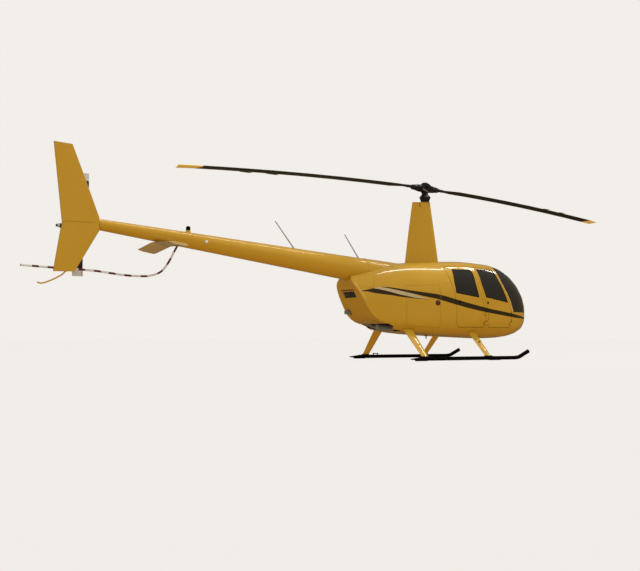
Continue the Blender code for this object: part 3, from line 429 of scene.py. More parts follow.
def woven(name, colour):
    """Upholstery cloth: crossed threads, a soft sheen, and slight fading."""
    made, tree, shader = new_material(name, colour, 0.85)
    coordinate = add(tree, "ShaderNodeTexCoord").outputs["Object"]
    threads = []
    for angles in ((0, 0, 0.785), (0.785, 0, 0)):
        across = add(tree, "ShaderNodeMapping", {"Vector": coordinate, "Rotation": angles}).outputs[0]
        wave = add(tree, "ShaderNodeTexWave", {"Vector": across, "Scale": 160.0, "Distortion": 0.6})
        threads.append(wave.outputs["Fac"])
    weave = times(tree, *threads)
    pale = tuple(min(1.0, c * 1.7) for c in colour[:3]) + (1.0,)
    faded = shaded(tree, colour, tuple(c * 0.6 for c in colour[:3]) + (1.0,), 0.5, 5.0)
    wire(tree, mixed(tree, times(tree, weave, 0.5), faded, pale), shader.inputs["Base Color"])
    shader.inputs["Sheen Weight"].default_value = 0.3
    bump(tree, shader, weave, 0.35, 0.0015)
    return made


LOOK = {
    "gold": gold_paint(),
    "gold_lined": gold_paint("gold_paint_lined", hollow=True),
    "striped": gold_paint("gold_paint_striped", striped_marks, hollow=True),
    "gold_pale": gold_paint("gold_paint_pale_highlight", base=GOLD_PALE_HIGHLIGHT),
    "black": plain("satin_black", (0.0025, 0.0025, 0.0022, 1.0), 0.5, specular=0.02),
    "rubber": plain("black_rubber", (0.008, 0.008, 0.008, 1.0), 0.7, grain_depth=0.15, specular=0.15),
    "hub": plain("hub_black", (0.018, 0.018, 0.018, 1.0), 0.42, 0.2, scale=30.0, specular=0.3),
    "steel": plain("machined_steel", (0.42, 0.42, 0.43, 1.0), 0.32, 0.95, scale=25.0),
    "cast": plain("cast_aluminium", (0.33, 0.33, 0.34, 1.0), 0.5, 0.7, grain=60.0, grain_depth=0.2),
    "exhaust": plain("heat_stained_steel", (0.30, 0.30, 0.29, 1.0), 0.5, 0.35, patch=0.5),
    # Near black: partly soot, partly painted shade of the engine bay and of the tail pipe's bore
    "soot": plain("sooty_steel_and_shade", (0.02, 0.018, 0.018, 1.0), 0.7, 0.3, patch=0.6),
    "rust": plain("primer_brown", (0.10, 0.028, 0.018, 1.0), 0.6),
    "white": plain("white_enamel", (0.70, 0.69, 0.67, 1.0), 0.35, coat=0.2, patch=0.2),
    "pale_rod": plain("pale_fibre_rod", (0.42, 0.45, 0.50, 1.0), 0.5, patch=0.2),
    "red": plain("red_enamel", (0.36, 0.022, 0.026, 1.0), 0.4, patch=0.4),
    "dark_red": plain("dark_enamel", (0.13, 0.012, 0.02, 1.0), 0.45, patch=0.4),
    # Greyer, browner gold on the stabiliser and its rivets: painted shade of its underside, seen from below
    "olive": gold_paint("gold_paint_painted_shade", base=(0.62, 0.47, 0.19, 1.0)),
    "glass": smoked_glass(),
    "lens": clear_lens("clear_lens", (0.60, 0.62, 0.62, 1.0), 0.75),
    "lens_green": clear_lens("pale_green_lens", (0.42, 0.46, 0.34, 1.0), 0.9),
    "cloth": woven("seat_cloth", (0.055, 0.045, 0.040, 1.0)),
    "panel": plain("instrument_black", (0.02, 0.02, 0.021, 1.0), 0.6, grain_depth=0.2),
    "dial": plain("dial_face", (0.008, 0.008, 0.008, 1.0), 0.3),
    "lining": plain("cabin_lining", (0.10, 0.085, 0.07, 1.0), 0.8, grain=200.0, grain_depth=0.2),
    "seam": plain("seam_shadow", (0.24, 0.13, 0.012, 1.0), 0.6),
    "webbing": plain("belt_webbing", (0.03, 0.03, 0.032, 1.0), 0.8, grain=500.0, grain_depth=0.5),
    "carpet": plain("floor_carpet", (0.035, 0.030, 0.028, 1.0), 0.95, grain=400.0, grain_depth=0.6),
}

# Stage, camera and lights

def backdrop():
    """The pale backdrop, with one set of colours for soft light and one for what shows in gloss."""
    scene = bpy.context.scene
    scene.view_settings.view_transform = "Standard"
    world = bpy.data.worlds.new("studio")
    scene.world = world
    world.use_nodes = True
    tree = world.node_tree
    sky = tree.nodes["Background"]
    facing = add(tree, "ShaderNodeTexCoord").outputs["Generated"]
    up = add(tree, "ShaderNodeSeparateXYZ", {0: facing}).outputs[2]
    rise = plus(tree, times(tree, up, 0.5), 0.5)
    ramps = []
    for low, middle, high in (SOFT_LIGHT, REFLECTED):
        ramp = add(tree, "ShaderNodeValToRGB", {0: rise})
        stops = ramp.color_ramp.elements
        stops[0].position, stops[0].color = 0.25, low
        stops[1].position, stops[1].color = 1.0, high
        stops.new(0.5).color = middle
        ramps.append(ramp.outputs[0])
    rays = add(tree, "ShaderNodeLightPath").outputs
    lit = mixed(tree, rays["Is Glossy Ray"], *ramps)
    wire(tree, mixed(tree, rays["Is Camera Ray"], lit, BACKDROP), sky.inputs["Color"])


def pale_floor():
    """The floor, just under the ground plane, which does not light the machine from below."""
    spot = (0, 0, -0.0005)
    bpy.ops.mesh.primitive_circle_add(vertices=96, radius=120.0, fill_type="NGON", location=spot)
    floor = bpy.context.object
    floor.name = "floor"
    made = bpy.data.materials.new("pale_floor")
    made.use_nodes = True
    tree = made.node_tree
    tree.nodes.clear()
    glow = add(tree, "ShaderNodeEmission", {"Color": BACKDROP, "Strength": 0.96})
    diffuse = add(tree, "ShaderNodeBsdfDiffuse", {"Color": (0.03, 0.029, 0.028, 1.0)})
    both = add(tree, "ShaderNodeAddShader", {0: glow.outputs[0], 1: diffuse.outputs[0]})
    output = add(tree, "ShaderNodeOutputMaterial", {0: both.outputs[0]})
    output.is_active_output = True
    floor.data.materials.append(made)
    floor.visible_diffuse = False
    floor.visible_glossy = False
    floor.visible_transmission = False


def camera():
    data = bpy.data.cameras.new("camera")
    data.lens, data.sensor_width = CAMERA_LENS, CAMERA_SENSOR
    data.clip_end = 500.0
    seat = bpy.data.objects.new("camera", data)
    bpy.context.scene.collection.objects.link(seat)
    seat.location = CAMERA_AT
    seat.rotation_euler = (pi / 2 + CAMERA_PITCH, 0.0, CAMERA_YAW - pi / 2)
    bpy.context.scene.camera = seat


def sun(name, azimuth, elevation, strength, spread):
    """A soft light that shines from an azimuth and elevation in degrees."""
    data = bpy.data.lights.new(name, "SUN")
    data.energy, data.angle = strength, radians(spread)
    lamp = bpy.data.objects.new(name, data)
    bpy.context.scene.collection.objects.link(lamp)
    a, e = radians(azimuth), radians(elevation)
    towards = Vector((cos(e) * cos(a), cos(e) * sin(a), sin(e)))
    lamp.rotation_euler = towards.to_track_quat("Z", "Y").to_euler()
    lamp.visible_glossy = False


def overhead_strip():
    """A long narrow lamp straight above, whose reflection draws a bright line along rounded edges."""
    data = bpy.data.lights.new("overhead_strip", "AREA")
    data.shape = "RECTANGLE"
    data.size, data.size_y = STRIP_SIZE
    data.energy = STRIP_POWER
    data.color = (1.0, 0.97, 0.92)
    lamp = bpy.data.objects.new("overhead_strip", data)
    bpy.context.scene.collection.objects.link(lamp)
    lamp.location = STRIP_AT


# Shapes

def upright(point, normal, turn=0.0):
    """A placement at a point, with its z along the normal."""
    facing = Vector(normal).to_track_quat("Z", "Y").to_matrix().to_4x4()
    return moved(point) @ facing @ Matrix.Rotation(turn, 4, "Z")


def mm(*profile):
    """A profile of radii and heights that are given in millimetres."""
    return [(radius / 1000, height / 1000) for radius, height in profile]


def bridge(data, one, two):
    """The faces between two rings of equal length. A ring may be one point over and over."""
    after = (*range(1, len(one)), 0)
    corners = [(one[k], one[j], two[j], two[k]) for k, j in enumerate(after)]
    return [data.faces.new(list(dict.fromkeys(four))) for four in corners]


def lathe(data, profile, placement=Matrix.Identity(4), sides=24):
    """Turns a profile of (radius, height) points about z. It closes where the radius is 0."""
    rows = []
    for radius, height in profile:
        if radius <= 0:
            rows.append([data.verts.new(placement @ Vector((0, 0, height)))] * sides)
            continue
        angles = (2 * pi * k / sides for k in range(sides))
        ring = (Vector((radius * cos(a), radius * sin(a), height)) for a in angles)
        rows.append([data.verts.new(placement @ point) for point in ring])
    for one, two in zip(rows, rows[1:]):
        bridge(data, one, two)
    for row in (rows[0], rows[-1]):
        if row[0] != row[1]:
            data.faces.new(row)


def sweep(data, points, radius, sides=10, bands=None, closed=False):
    """A round tube through points, of one radius or one for each point, with a material for each band."""
    points = [Vector(p) for p in points]
    count = len(points)
    radii = radius if isinstance(radius, (list, tuple)) else [radius] * len(points)
    rings = []
    side = None
    for i, point in enumerate(points):
        after = points[(i + 1) % count] if closed else points[min(i + 1, count - 1)]
        before = points[i - 1] if closed else points[max(i - 1, 0)]
        ahead = (after - before).normalized()
        if side is None:
            side = ahead.orthogonal().normalized()
        side = (side - ahead * side.dot(ahead)).normalized()
        other = ahead.cross(side)
        angles = (2 * pi * k / sides for k in range(sides))
        spokes = (side * cos(a) + other * sin(a) for a in angles)
        rings.append([data.verts.new(point + spoke * radii[i]) for spoke in spokes])
    if closed:
        last, first = rings[-1], rings[0]
        gaps = [
            sum((last[k].co - first[(k + s) % sides].co).length for k in range(sides)) for s in range(sides)
        ]
        shift = gaps.index(min(gaps))
        rings.append(first[shift:] + first[:shift])
    for i, (one, two) in enumerate(zip(rings, rings[1:])):
        for face in bridge(data, one, two):
            face.material_index = bands[i] if bands else 0
    if closed:
        return
    data.faces.new(rings[0])
    last = data.faces.new(rings[-1])
    last.material_index = bands[-1] if bands else 0


def block(data, size, placement=Matrix.Identity(4), bevel=0.0):
    """A box with rounded edges."""
    made = bmesh.ops.create_cube(data, size=1.0, matrix=placement @ Matrix.Diagonal((*size, 1.0)))
    if bevel:
        edges = {e for v in made["verts"] for e in v.link_edges}
        bmesh.ops.bevel(data, geom=list(edges), offset=bevel, segments=2, affect="EDGES")


def catmull(points, step):
    """A smooth line through points, with a point about every step metres."""
    points = [Vector(p) for p in points]
    line = []
    for i in range(len(points) - 1):
        a, b, c, d = (points[min(max(i + k, 0), len(points) - 1)] for k in (-1, 0, 1, 2))
        count = max(2, round((c - b).length / step))
        for k in range(count):
            t = k / count
            square, cube = (2 * a - 5 * b + 4 * c - d) * t * t, (3 * b - a - 3 * c + d) * t**3
            line.append(0.5 * (2 * b + (c - a) * t + square + cube))
    line.append(points[-1])
    return line


TREES = {}


def surface(node, origin, direction):
    """Where a line from origin first meets a CAD node: the point and the outward normal."""
    if node not in TREES:
        mesh = NODES[node].data
        places, faces = [v.co.copy() for v in mesh.vertices], [tuple(p.vertices) for p in mesh.polygons]
        TREES[node] = BVHTree.FromPolygons(places, faces)
    point, normal, _, _ = TREES[node].ray_cast(Vector(origin), Vector(direction))
    if point is None:
        return None
    if normal.dot(Vector(direction)) > 0:
        normal = -normal
    return point, normal


def on_side(node, x, z, sign):
    """The point and normal of a node's skin at x and z, on the port (+1) or starboard (-1) side."""
    return surface(node, (x, sign * 3.0, z), (0, -sign, 0))


def ribbon(data, samples, width, height):
    """A closed flat strip that lies along samples of point and normal."""
    rings = []
    for i, (point, normal) in enumerate(samples):
        ahead = samples[min(i + 1, len(samples) - 1)][0] - samples[max(i - 1, 0)][0]
        side = ahead.cross(normal).normalized() * width / 2
        low, high = point - normal * 0.002, point + normal * height
        corners = (low - side, low + side, high + side * 0.8, high - side * 0.8)
        rings.append([data.verts.new(corner) for corner in corners])
    for one, two in zip(rings, rings[1:]):
        bridge(data, one, two)
    data.faces.new(rings[0])
    data.faces.new(rings[-1])


def spread(points, step):
    """Points about every step along a line of corners."""
    line = [points[0]]
    for one, two in zip(points, points[1:]):
        count = max(1, round(dist(one, two) / step))
        line += [tuple(a + (b - a) * k / count for a, b in zip(one, two)) for k in range(1, count + 1)]
    return line


def side_line(nodes, outline, sign, step=0.03):
    """Samples of point and normal along a side view line of (x, z), on the outermost of some nodes."""
    samples = []
    for x, z in spread(outline, step):
        at = here(x, 0, z)
        hits = [hit for hit in (on_side(node, at.x, at.z, sign) for node in nodes) if hit]
        if hits:
            samples.append(max(hits, key=lambda hit: sign * hit[0].y))
    return samples


def piece(name, data, look, body="airframe", smooth=True):
    """An object of one look or several, on its body. Its slot follows from the look, or is given."""
    mesh = bpy.data.meshes.new(name)
    bmesh.ops.recalc_face_normals(data, faces=data.faces)
    data.to_mesh(mesh)
    data.free()
    for each in (look,) if isinstance(look, str) else look:
        mesh.materials.append(LOOK[each])
    if smooth:
        mesh.shade_smooth()
        mesh.set_sharp_from_angle(angle=SHARP_ANGLE)
    made = bpy.data.objects.new(name, mesh)
    bpy.context.scene.collection.objects.link(made)
    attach(made, body)
    return made


def turned(name, look, profile, placement, sides=24):
    """A piece that is one turned form, with its profile in millimetres."""
    data = bmesh.new()
    lathe(data, mm(*profile), placement, sides)
    return piece(name, data, look)


def strip(name, look, samples, width, height):
    """A piece that is one ribbon."""
    data = bmesh.new()
    ribbon(data, samples, width, height)
    piece(name, data, look)


def dome(data, point, normal, radius, height):
    """A rivet's head."""
    top = ((radius * 0.86, height * 0.6), (radius * 0.4, height), (0.0, height * 1.08))
    lathe(data, ((radius, -0.0005), *top), upright(point, normal), sides=8)


# Exterior fittings

def smoothing_group():
    """Geometry nodes that join a mesh's faces and shade it smoothly across its shallow edges."""
    group = bpy.data.node_groups.new("smooth_shallow_edges", "GeometryNodeTree")
    group.interface.new_socket("Geometry", in_out="INPUT", socket_type="NodeSocketGeometry")
    group.interface.new_socket("Geometry", in_out="OUTPUT", socket_type="NodeSocketGeometry")
    came = group.nodes.new("NodeGroupInput").outputs[0]
    bare = add(group, "GeometryNodeRemoveAttribute", {"Geometry": came, "Name": "custom_normal"}).outputs[0]
    joined = add(group, "GeometryNodeMergeByDistance", {"Geometry": bare, "Distance": 1e-5}).outputs[0]
    smooth = "GeometryNodeSetShadeSmooth"
    faces = add(group, smooth, {"Geometry": joined, "Shade Smooth": True}, domain="FACE").outputs[0]
    angle = add(group, "GeometryNodeInputMeshEdgeAngle").outputs[0]
    shallow = add(group, "FunctionNodeCompare", {0: angle, 1: SHALLOW_ANGLE}, operation="LESS_EQUAL")
    edges = add(group, smooth, {"Geometry": faces, "Shade Smooth": shallow.outputs[0]}, domain="EDGE")
    group.links.new(edges.outputs[0], group.nodes.new("NodeGroupOutput").inputs[0])
    return group


SMOOTHING = smoothing_group()


def softened(node):
    NODES[node].modifiers.new("smooth", "NODES").node_group = SMOOTHING
    weighted = NODES[node].modifiers.new("weighted", "WEIGHTED_NORMAL")
    weighted.keep_sharp = True


def paint_frame():
    """Gives every CAD node its finish."""
    record = frame["record"]
    looks = {
        "yellow_paint": "gold", "black_parts": "black", "bare_metal": "cast", "smoked_acrylic": "glass",
        "trim_cloth": "cloth", "white_paint": "white", "guard_red": "red", "interior_plastic": "lining",
    }
    for part in record["subparts"]:
        node = part["node"]
        look = LOOK[looks[part["material_slot"]]]
        NODES[node].data.materials.clear()
        NODES[node].data.materials.append(look)
        softened(node)
    special = {
        "rotor_hub": "hub", "swashplate": "hub", "tail_rotor_hub": "hub", "rotor_mast": "steel",
        "exhaust": "exhaust", "whip_front": "pale_rod", "whip_rear": "pale_rod", "beacon": "rubber",
        # The engine in its bay is near black: partly soot, partly painted shade
        "stabiliser": "olive", "engine": "soot", "cabin_roof": "gold_lined",
        "engine_cowl": "striped", "cabin_tub": "striped",
    }
    special |= {f"door_{where}_{side}": "striped" for where in DOORS for side in SIDES}
    for node, look in special.items():
        NODES[node].data.materials[0] = LOOK[look]
    for node in BLADE_TIPS:
        NODES[node].data.materials[0] = blade_paint(node)
    tail_paint = tail_blade_paint()
    for node in ("tail_blade_a", "tail_blade_b"):
        NODES[node].data.materials[0] = tail_paint


def tail_guard():
    """The banded guard tube, with a rubber cap on its end."""
    line = catmull([here(*p) for p in GUARD_PATH], 0.012)
    travelled = 0.0
    bands = []
    for one, two in zip(line, line[1:]):
        travelled += (two - one).length
        bands.append(1 if any(abs(travelled - middle) < BAND_HALF for middle in BAND_CENTRES) else 0)
    bands[0] = 2
    data = bmesh.new()
    sweep(data, line, GUARD_RADIUS, 14, bands)
    guard = piece("guard_tube", data, ("white", "dark_red", "rubber"))
    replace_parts(guard, "tail_guard")


def boom_rivets():
    """Rings of rivets at the joints of the boom's skins."""
    data = bmesh.new()
    for x in BOOM_JOINTS:
        for offset in (-0.014, 0.014):
            for k in range(28):
                a = 2 * pi * (k + 0.5) / 28
                out = Vector((0, cos(a), sin(a)))
                middle = here(x + offset, 0, BOOM_END_Z - (x - BOOM_END_X) * BOOM_SLOPE)
                hit = surface("tail_boom", middle + out * 1.5, -out)
                if hit:
                    dome(data, *hit, 0.0042, 0.0016)
    piece("boom_rivets", data, "gold")


def fuel_caps():
    for side, sign in SIDES.items():
        point, normal = on_side("engine_cowl", *FUEL_CAP, sign)
        at = upright(point, normal)
        data = bmesh.new()
        lathe(data, mm((45, -4), (45, 3), (38, 5), (36, 1.5), (0, 1.5)), at, 32)
        lathe(data, mm((31, 1), (31, 7), (24, 11), (0, 12)), at, 28)
        block(data, (0.048, 0.010, 0.008), at @ moved((0, 0, 0.013)), 0.002)
        piece(f"fuel_cap_{side}", data, "rust")


def door_fittings():
    """Latch buttons on the doors."""
    for side, sign in SIDES.items():
        for where, (x, z) in LATCHES.items():
            point, normal = on_side(f"door_{where}_{side}", x, z, sign)
            at = upright(point, normal)
            data = bmesh.new()
            lathe(data, mm((19, -3), (19, 3), (15, 5), (0, 6)), at, 24)
            block(data, (0.034, 0.009, 0.008), at @ moved((0, 0, 0.007)), 0.002)
            piece(f"latch_{where}_{side}", data, "black", f"door_{where}_{side}")


def lamp(name, point, normal, radius):
    """A round sunk light: rim and lens."""
    at = upright(point, normal)
    data = bmesh.new()
    rim = radius * 1.12
    lathe(data, ((rim, -0.004), (rim, 0.004), (radius, 0.006), (radius * 0.96, 0.001)), at, 28)
    piece(f"{name}_rim", data, "steel")
    data = bmesh.new()
    lathe(data, ((radius, -0.003), (radius * 0.98, 0.003), (radius * 0.6, 0.008), (0.0, 0.010)), at, 28)
    piece(f"{name}_lens", data, "lens")


def lights():
    for side, sign in SIDES.items():
        hit = surface("cabin_tub", (4.0, sign * 0.105, 0.62), (-1, 0, 0))
        lamp(f"landing_light_{side}", *hit, 0.05)
    point, normal = surface("tail_boom", (-3.144, -1.0, 1.842), (0, 1, 0))
    turned("boom_marker", "white", ((26, -2), (24, 10), (14, 17), (0, 19)), upright(point, normal), 20)


def belly_probe():
    top = surface("cabin_tub", (0.951, 0.0, -0.5), (0, 0, 1))[0]
    turned("belly_probe", "black", ((22, 4), (22, -6), (10, -10), (8, -52), (0, -56)), moved(top), 16)


def beacon():
    """The dark dome on its painted foot."""
    at = moved(surface("tail_boom", here(BEACON_X, 0, 3.0), (0, 0, -1))[0])
    turned("beacon_foot", "gold", ((40, -6), (40, 6), (36, 12), (35, 30), (0, 30)), at)
    profile = ((34, 30.5), (35, 34), (34, 70), (30, 84), (18, 93), (0, 96))
    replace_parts(turned("beacon_dome", "black", profile, at), "beacon")


def tail_light():
    """Collar, pale lens and dark tip, behind the lower fin."""
    at = upright(here(*TAIL_LIGHT_AT), (-1, 0, 0))
    turned("tail_light_collar", "rubber", ((33, 0), (33, 12), (28, 15), (0, 15)), at)
    lens = turned("tail_light_lens", "lens_green", ((28, 15.5), (28, 40), (24, 50), (0, 52)), at)
    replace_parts(lens, "tail_light")
    turned("tail_light_tip", "black", ((18, 50), (19, 62), (12, 69), (0, 70)), at)


def window_seals():
    """A rubber bead round each door window."""
    for where, outline in WINDOWS.items():
        middle = [sum(p[i] for p in outline) / len(outline) for i in (0, 1)]
        inner = [tuple(m + (v - m) * 0.975 for v, m in zip(p, middle)) for p in outline]
        for side, sign in SIDES.items():
            line = side_line((f"window_{where}_{side}",), [*inner, inner[0]], sign, 0.04)[:-1]
            data = bmesh.new()
            sweep(data, [point for point, _ in line], 0.006, 8, closed=True)
            piece(f"window_seal_{where}_{side}", data, "rubber", f"door_{where}_{side}")


def rivets(name, samples, look="gold"):
    """A row of rivets at samples of point and normal."""
    data = bmesh.new()
    for point, normal in samples:
        dome(data, point, normal, 0.004, 0.0015)
    piece(name, data, look)


def windshield_trim():
    """The retaining strip along each side of the windshield, whose pale gold is partly a painted highlight,
    and its screws.
    """
    for side, sign in SIDES.items():
        line = side_line(("cabin_roof", "cabin_tub"), WINDSHIELD_EDGE, sign, 0.03)
        # The strip is a real part; its paler gold is a painted highlight
        strip(f"windshield_strip_{side}", "gold_pale", line, 0.022, 0.0025)
        raised = [(point + normal * 0.0025, normal) for point, normal in line[1::2]]
        rivets(f"windshield_screws_{side}", raised, look="steel")


def seams():
    """Joints between the cowl's panels with rivets beside them, and a pale strip along the back panel's
    edge that is a painted highlight.
    """
    cowl = ("engine_cowl",)
    for side, sign in SIDES.items():
        for name, outline in COWL_SEAMS.items():
            seam = side_line(cowl, outline, sign, 0.012)
            strip(f"seam_{name}_{side}", "seam", seam, 0.004, SEAM_RISE)
            beside = [(x + 0.016, z - 0.016) for x, z in outline]
            rivets(f"rivets_{name}_{side}", side_line(cowl, beside, sign, 0.045))
        # A pale strip along the back panel's edge: a painted highlight of that edge
        strip(f"cowl_rim_painted_highlight_{side}", "gold_pale", side_line(cowl, COWL_EDGE, sign), 0.014, 0.002)
    ring = []
    for k in range(91):
        a = radians(15 + 150 * k / 90)
        out = Vector((0, cos(a), sin(a)))
        ring.append(surface("engine_cowl", here(COWL_JOINT_X, 0, 1.42) + out * 1.5, -out))
    strip("seam_cowl_joint", "seam", ring, 0.005, SEAM_RISE)
    for side, step in (("front", 0.02), ("rear", -0.02)):
        beside = [(point + Vector((step, 0, 0)), normal) for point, normal in ring[2::5]]
        rivets(f"rivets_cowl_joint_{side}", beside)


def fin_rivets():
    """Rivets of the fins and the stabiliser, and the joint between the two fins."""
    for side, sign in SIDES.items():
        joint = side_line(("upper_fin",), ((-5.80, FIN_JOINT_Z), (-6.26, FIN_JOINT_Z)), sign)
        strip(f"seam_fin_joint_{side}", "seam", joint, 0.005, SEAM_RISE)
    for node, lines in FIN_RIVETS.items():
        found = []
        for sign in SIDES.values():
            for line in lines:
                found += side_line((node,), line, sign, 0.055)
        rivets(f"rivets_{node}", found)
    found = []
    for x in STABILISER_RIVETS_X:
        for k in range(27):
            y = -0.72 + 1.44 * k / 26
            for z, down in ((3.0, -1), (0.5, 1)):
                hit = surface("stabiliser", here(x, y, z), (0, 0, down))
                if abs(y) > 0.24:
                    found.append(hit)
    rivets("rivets_stabiliser", found, look="olive")


def cowl_vent():
    """The leaning bars in the opening of the back panel, and the dark strip above it."""
    data = bmesh.new()
    middle_x = BACK_FOOT_X - BACK_SLOPE * (VENT_Z - BACK_FOOT_Z) + 0.010
    lean = rotated("Y", BAR_LEAN)
    for k in range(7):
        y = -0.168 + 0.056 * k
        block(data, (0.010, 0.014, 0.125), moved(here(middle_x, y, VENT_Z)) @ lean, 0.002)
    piece("vent_bars", data, "cast")
    above = [here(-3.0, -0.21 + 0.021 * k, 1.142) for k in range(21)]
    samples = [surface("cowl_back", point, (1, 0, 0)) for point in above]
    strip("vent_strip", "dark_red", samples, 0.022, 0.002)


def fairing_details():
    """The rolled rim round the top of the mast fairing, its slots and its rivets."""
    middle = FAIRING_FRONT - FAIRING_HALF
    quarter = FAIRING_REAR + (middle - FAIRING_REAR) * 0.45
    angles = [radians(a) for a in range(-90, 91, 15)]
    line = [(middle + FAIRING_HALF * cos(a), FAIRING_HALF * sin(a)) for a in angles]
    flank = FAIRING_HALF * 0.72
    line += [(quarter, flank), (FAIRING_REAR, 0.012), (FAIRING_REAR, -0.012), (quarter, -flank)]
    data = bmesh.new()
    sweep(data, [here(x, y, FAIRING_TOP_Z - 0.003) for x, y in line], 0.005, 8, closed=True)
    piece("fairing_rim", data, "gold")
    for side, sign in SIDES.items():
        data = bmesh.new()
        for x, low, high in FAIRING_SLOTS:
            ribbon(data, side_line(("mast_fairing",), ((x, low), (x, high)), sign), 0.012, 0.001)
        piece(f"fairing_slots_{side}", data, "black")
        found = side_line(("mast_fairing",), ((-0.23, 2.60), (-0.32, 2.10), (-0.38, 1.76)), sign, 0.06)
        found += side_line(("mast_fairing",), ((-0.22, 2.585), (0.03, 2.585)), sign, 0.035)
        rivets(f"rivets_fairing_{side}", found)


def on_rotor(along, lateral, z):
    """A point given along the blades and across them, both from the mast."""
    return MAST + Matrix.Rotation(ROTOR_AZIMUTH, 3, "Z") @ Vector((along, lateral, z))


def plate(data, low, high):
    """A flat solid between two outlines of the same length."""
    rings = [[data.verts.new(p) for p in outline] for outline in (low, high)]
    bridge(data, *rings)
    for ring in rings:
        data.faces.new(ring)


def hex_head(data, point, normal, radius=0.012, height=0.009):
    """A bolt's head on its washer."""
    at, washer = upright(point, normal), radius * 1.35
    lathe(data, ((washer, -0.001), (washer, 0.002), (0.0, 0.002)), at, 16)
    lathe(data, ((radius, 0.0015), (radius, height), (0.0, height)), at, 6)


def rotor_head():
    """Side plates with their bolts, the turning star and the pitch links up to the horns."""
    plates, bolts, links = bmesh.new(), bmesh.new(), bmesh.new()
    for sign in (1, -1):
        near, far = ([on_rotor(a, sign * y, HUB_Z + up) for a, up in HUB_PLATE] for y in (0.0505, 0.060))
        plate(plates, near, far)
        out = on_rotor(0, sign, 0) - on_rotor(0, 0, 0)
        for along, up in HUB_BOLTS:
            hex_head(bolts, on_rotor(along, sign * 0.060, HUB_Z + up), out)
        hex_head(bolts, on_rotor(0, sign * 0.085, HUB_Z + 0.03), out, 0.017, 0.012)
        foot = on_rotor(sign * 0.055, sign * 0.108, STAR_Z)
        head = on_rotor(sign * 0.15, sign * 0.100, HUB_Z - 0.036)
        waist = [foot.lerp(head, part) for part in (0.18, 0.22, 0.78, 0.82)]
        sweep(links, [foot, *waist, head], [0.006, 0.006, 0.010, 0.010, 0.006, 0.006], 12)
        for end in (foot, head):
            lathe(links, mm((6, -13), (13, -7), (13, 7), (6, 13)), upright(end, out), 12)
        arm_end = on_rotor(sign * 0.052, sign * 0.100, STAR_Z)
        sweep(plates, [on_rotor(sign * 0.02, sign * 0.04, STAR_Z), arm_end], [0.012, 0.008], 10)
    low, high = STAR_Z - 0.009, STAR_Z + 0.009
    star = ((0.046, low), (0.062, low), (0.066, STAR_Z), (0.062, high), (0.046, high))
    lathe(plates, star, moved(MAST), 28)
    piece("hub_plates", plates, "hub", "main_rotor")
    piece("hub_bolts", bolts, "hub", "main_rotor")
    piece("pitch_links", links, "steel", "main_rotor")
    neck = ((62, 0), (79, 0), (80, 10), (77, 22), (62, 24))
    turned("swashplate_neck", "rust", neck, moved(here(0, 0, 2.7015)), 32)


def blade_fittings():
    """Root bolts and the small tabs on the trailing edges."""
    bolts, tabs = bmesh.new(), bmesh.new()
    for node, sign in (("main_blade_a", 1), ("main_blade_b", -1)):
        for reach in (0.36, 0.43):
            for z, down in ((4.0, -1), (1.0, 1)):
                hex_head(bolts, *surface(node, on_rotor(sign * reach, 0, z), (0, 0, down)), 0.010, 0.007)
        for reach in (3.2, 3.7):
            edge, _ = surface(node, on_rotor(sign * reach, -sign * 0.140, 4.0), (0, 0, -1))
            at = moved(edge) @ Matrix.Rotation(ROTOR_AZIMUTH, 4, "Z")
            block(tabs, (0.20, 0.055, 0.0022), at @ moved((0, -sign * 0.034, -0.002)))
    piece("blade_root_bolts", bolts, "steel", "main_rotor")
    piece("blade_tabs", tabs, "steel", "main_rotor")


def tail_rotor_fittings():
    """Pitch slider, links and horns, and the bolts of the blade roots."""
    centre = here(*TAIL_HUB)
    metal, dark = bmesh.new(), bmesh.new()
    slider = upright(centre + Vector((0, -0.034, 0)), TO_PORT)
    lathe(dark, mm((40, -6), (45, -3), (45, 3), (40, 6)), slider, 24)
    for s in (1, -1):
        foot = centre + Vector((s * 0.042, -0.034, 0))
        head = centre + Vector((s * 0.047, -0.012, s * 0.135))
        sweep(metal, [foot, head], 0.0045, 10)
        for end in (foot, head):
            lathe(metal, mm((5, -9), (9, -5), (9, 5), (5, 9)), upright(end, TO_PORT), 10)
        block(dark, (0.060, 0.012, 0.022), moved(centre + Vector((s * 0.026, -0.002, s * 0.135))), 0.003)
        for reach in (0.055, 0.090):
            hex_head(metal, centre + Vector((0, 0.022, s * reach)), TO_PORT, 0.008, 0.006)
    cap = upright(centre + Vector((0, 0.0495, 0)), TO_PORT)
    lathe(metal, mm((20, 0), (20, 8), (10, 16), (0, 17)), cap, 20)
    piece("tail_rotor_links", metal, "steel", "tail_rotor")
    piece("tail_rotor_slider", dark, "hub", "tail_rotor")


def gearbox_details():
    """Cooling ribs and bolts round the output, and the filler cap."""
    x, _, z = TAIL_HUB
    data = bmesh.new()
    for y in (0.035, 0.058, 0.081, 0.104):
        at = upright(here(x, y, z), TO_PORT)
        lathe(data, mm((64, -3.5), (73, -2.5), (73, 2.5), (64, 3.5)), at, 32)
    for k in range(6):
        a = radians(60 * k + 30)
        at = here(x + 0.048 * cos(a), 0.1205, z + 0.048 * sin(a))
        hex_head(data, at, TO_PORT, 0.006, 0.005)
    filler = upright(here(x + 0.05, 0.0, z + 0.062), (0, 0, 1))
    lathe(data, mm((16, -10), (16, 14), (12, 18), (0, 18)), filler, 20)
    piece("gearbox_ribs", data, "cast")


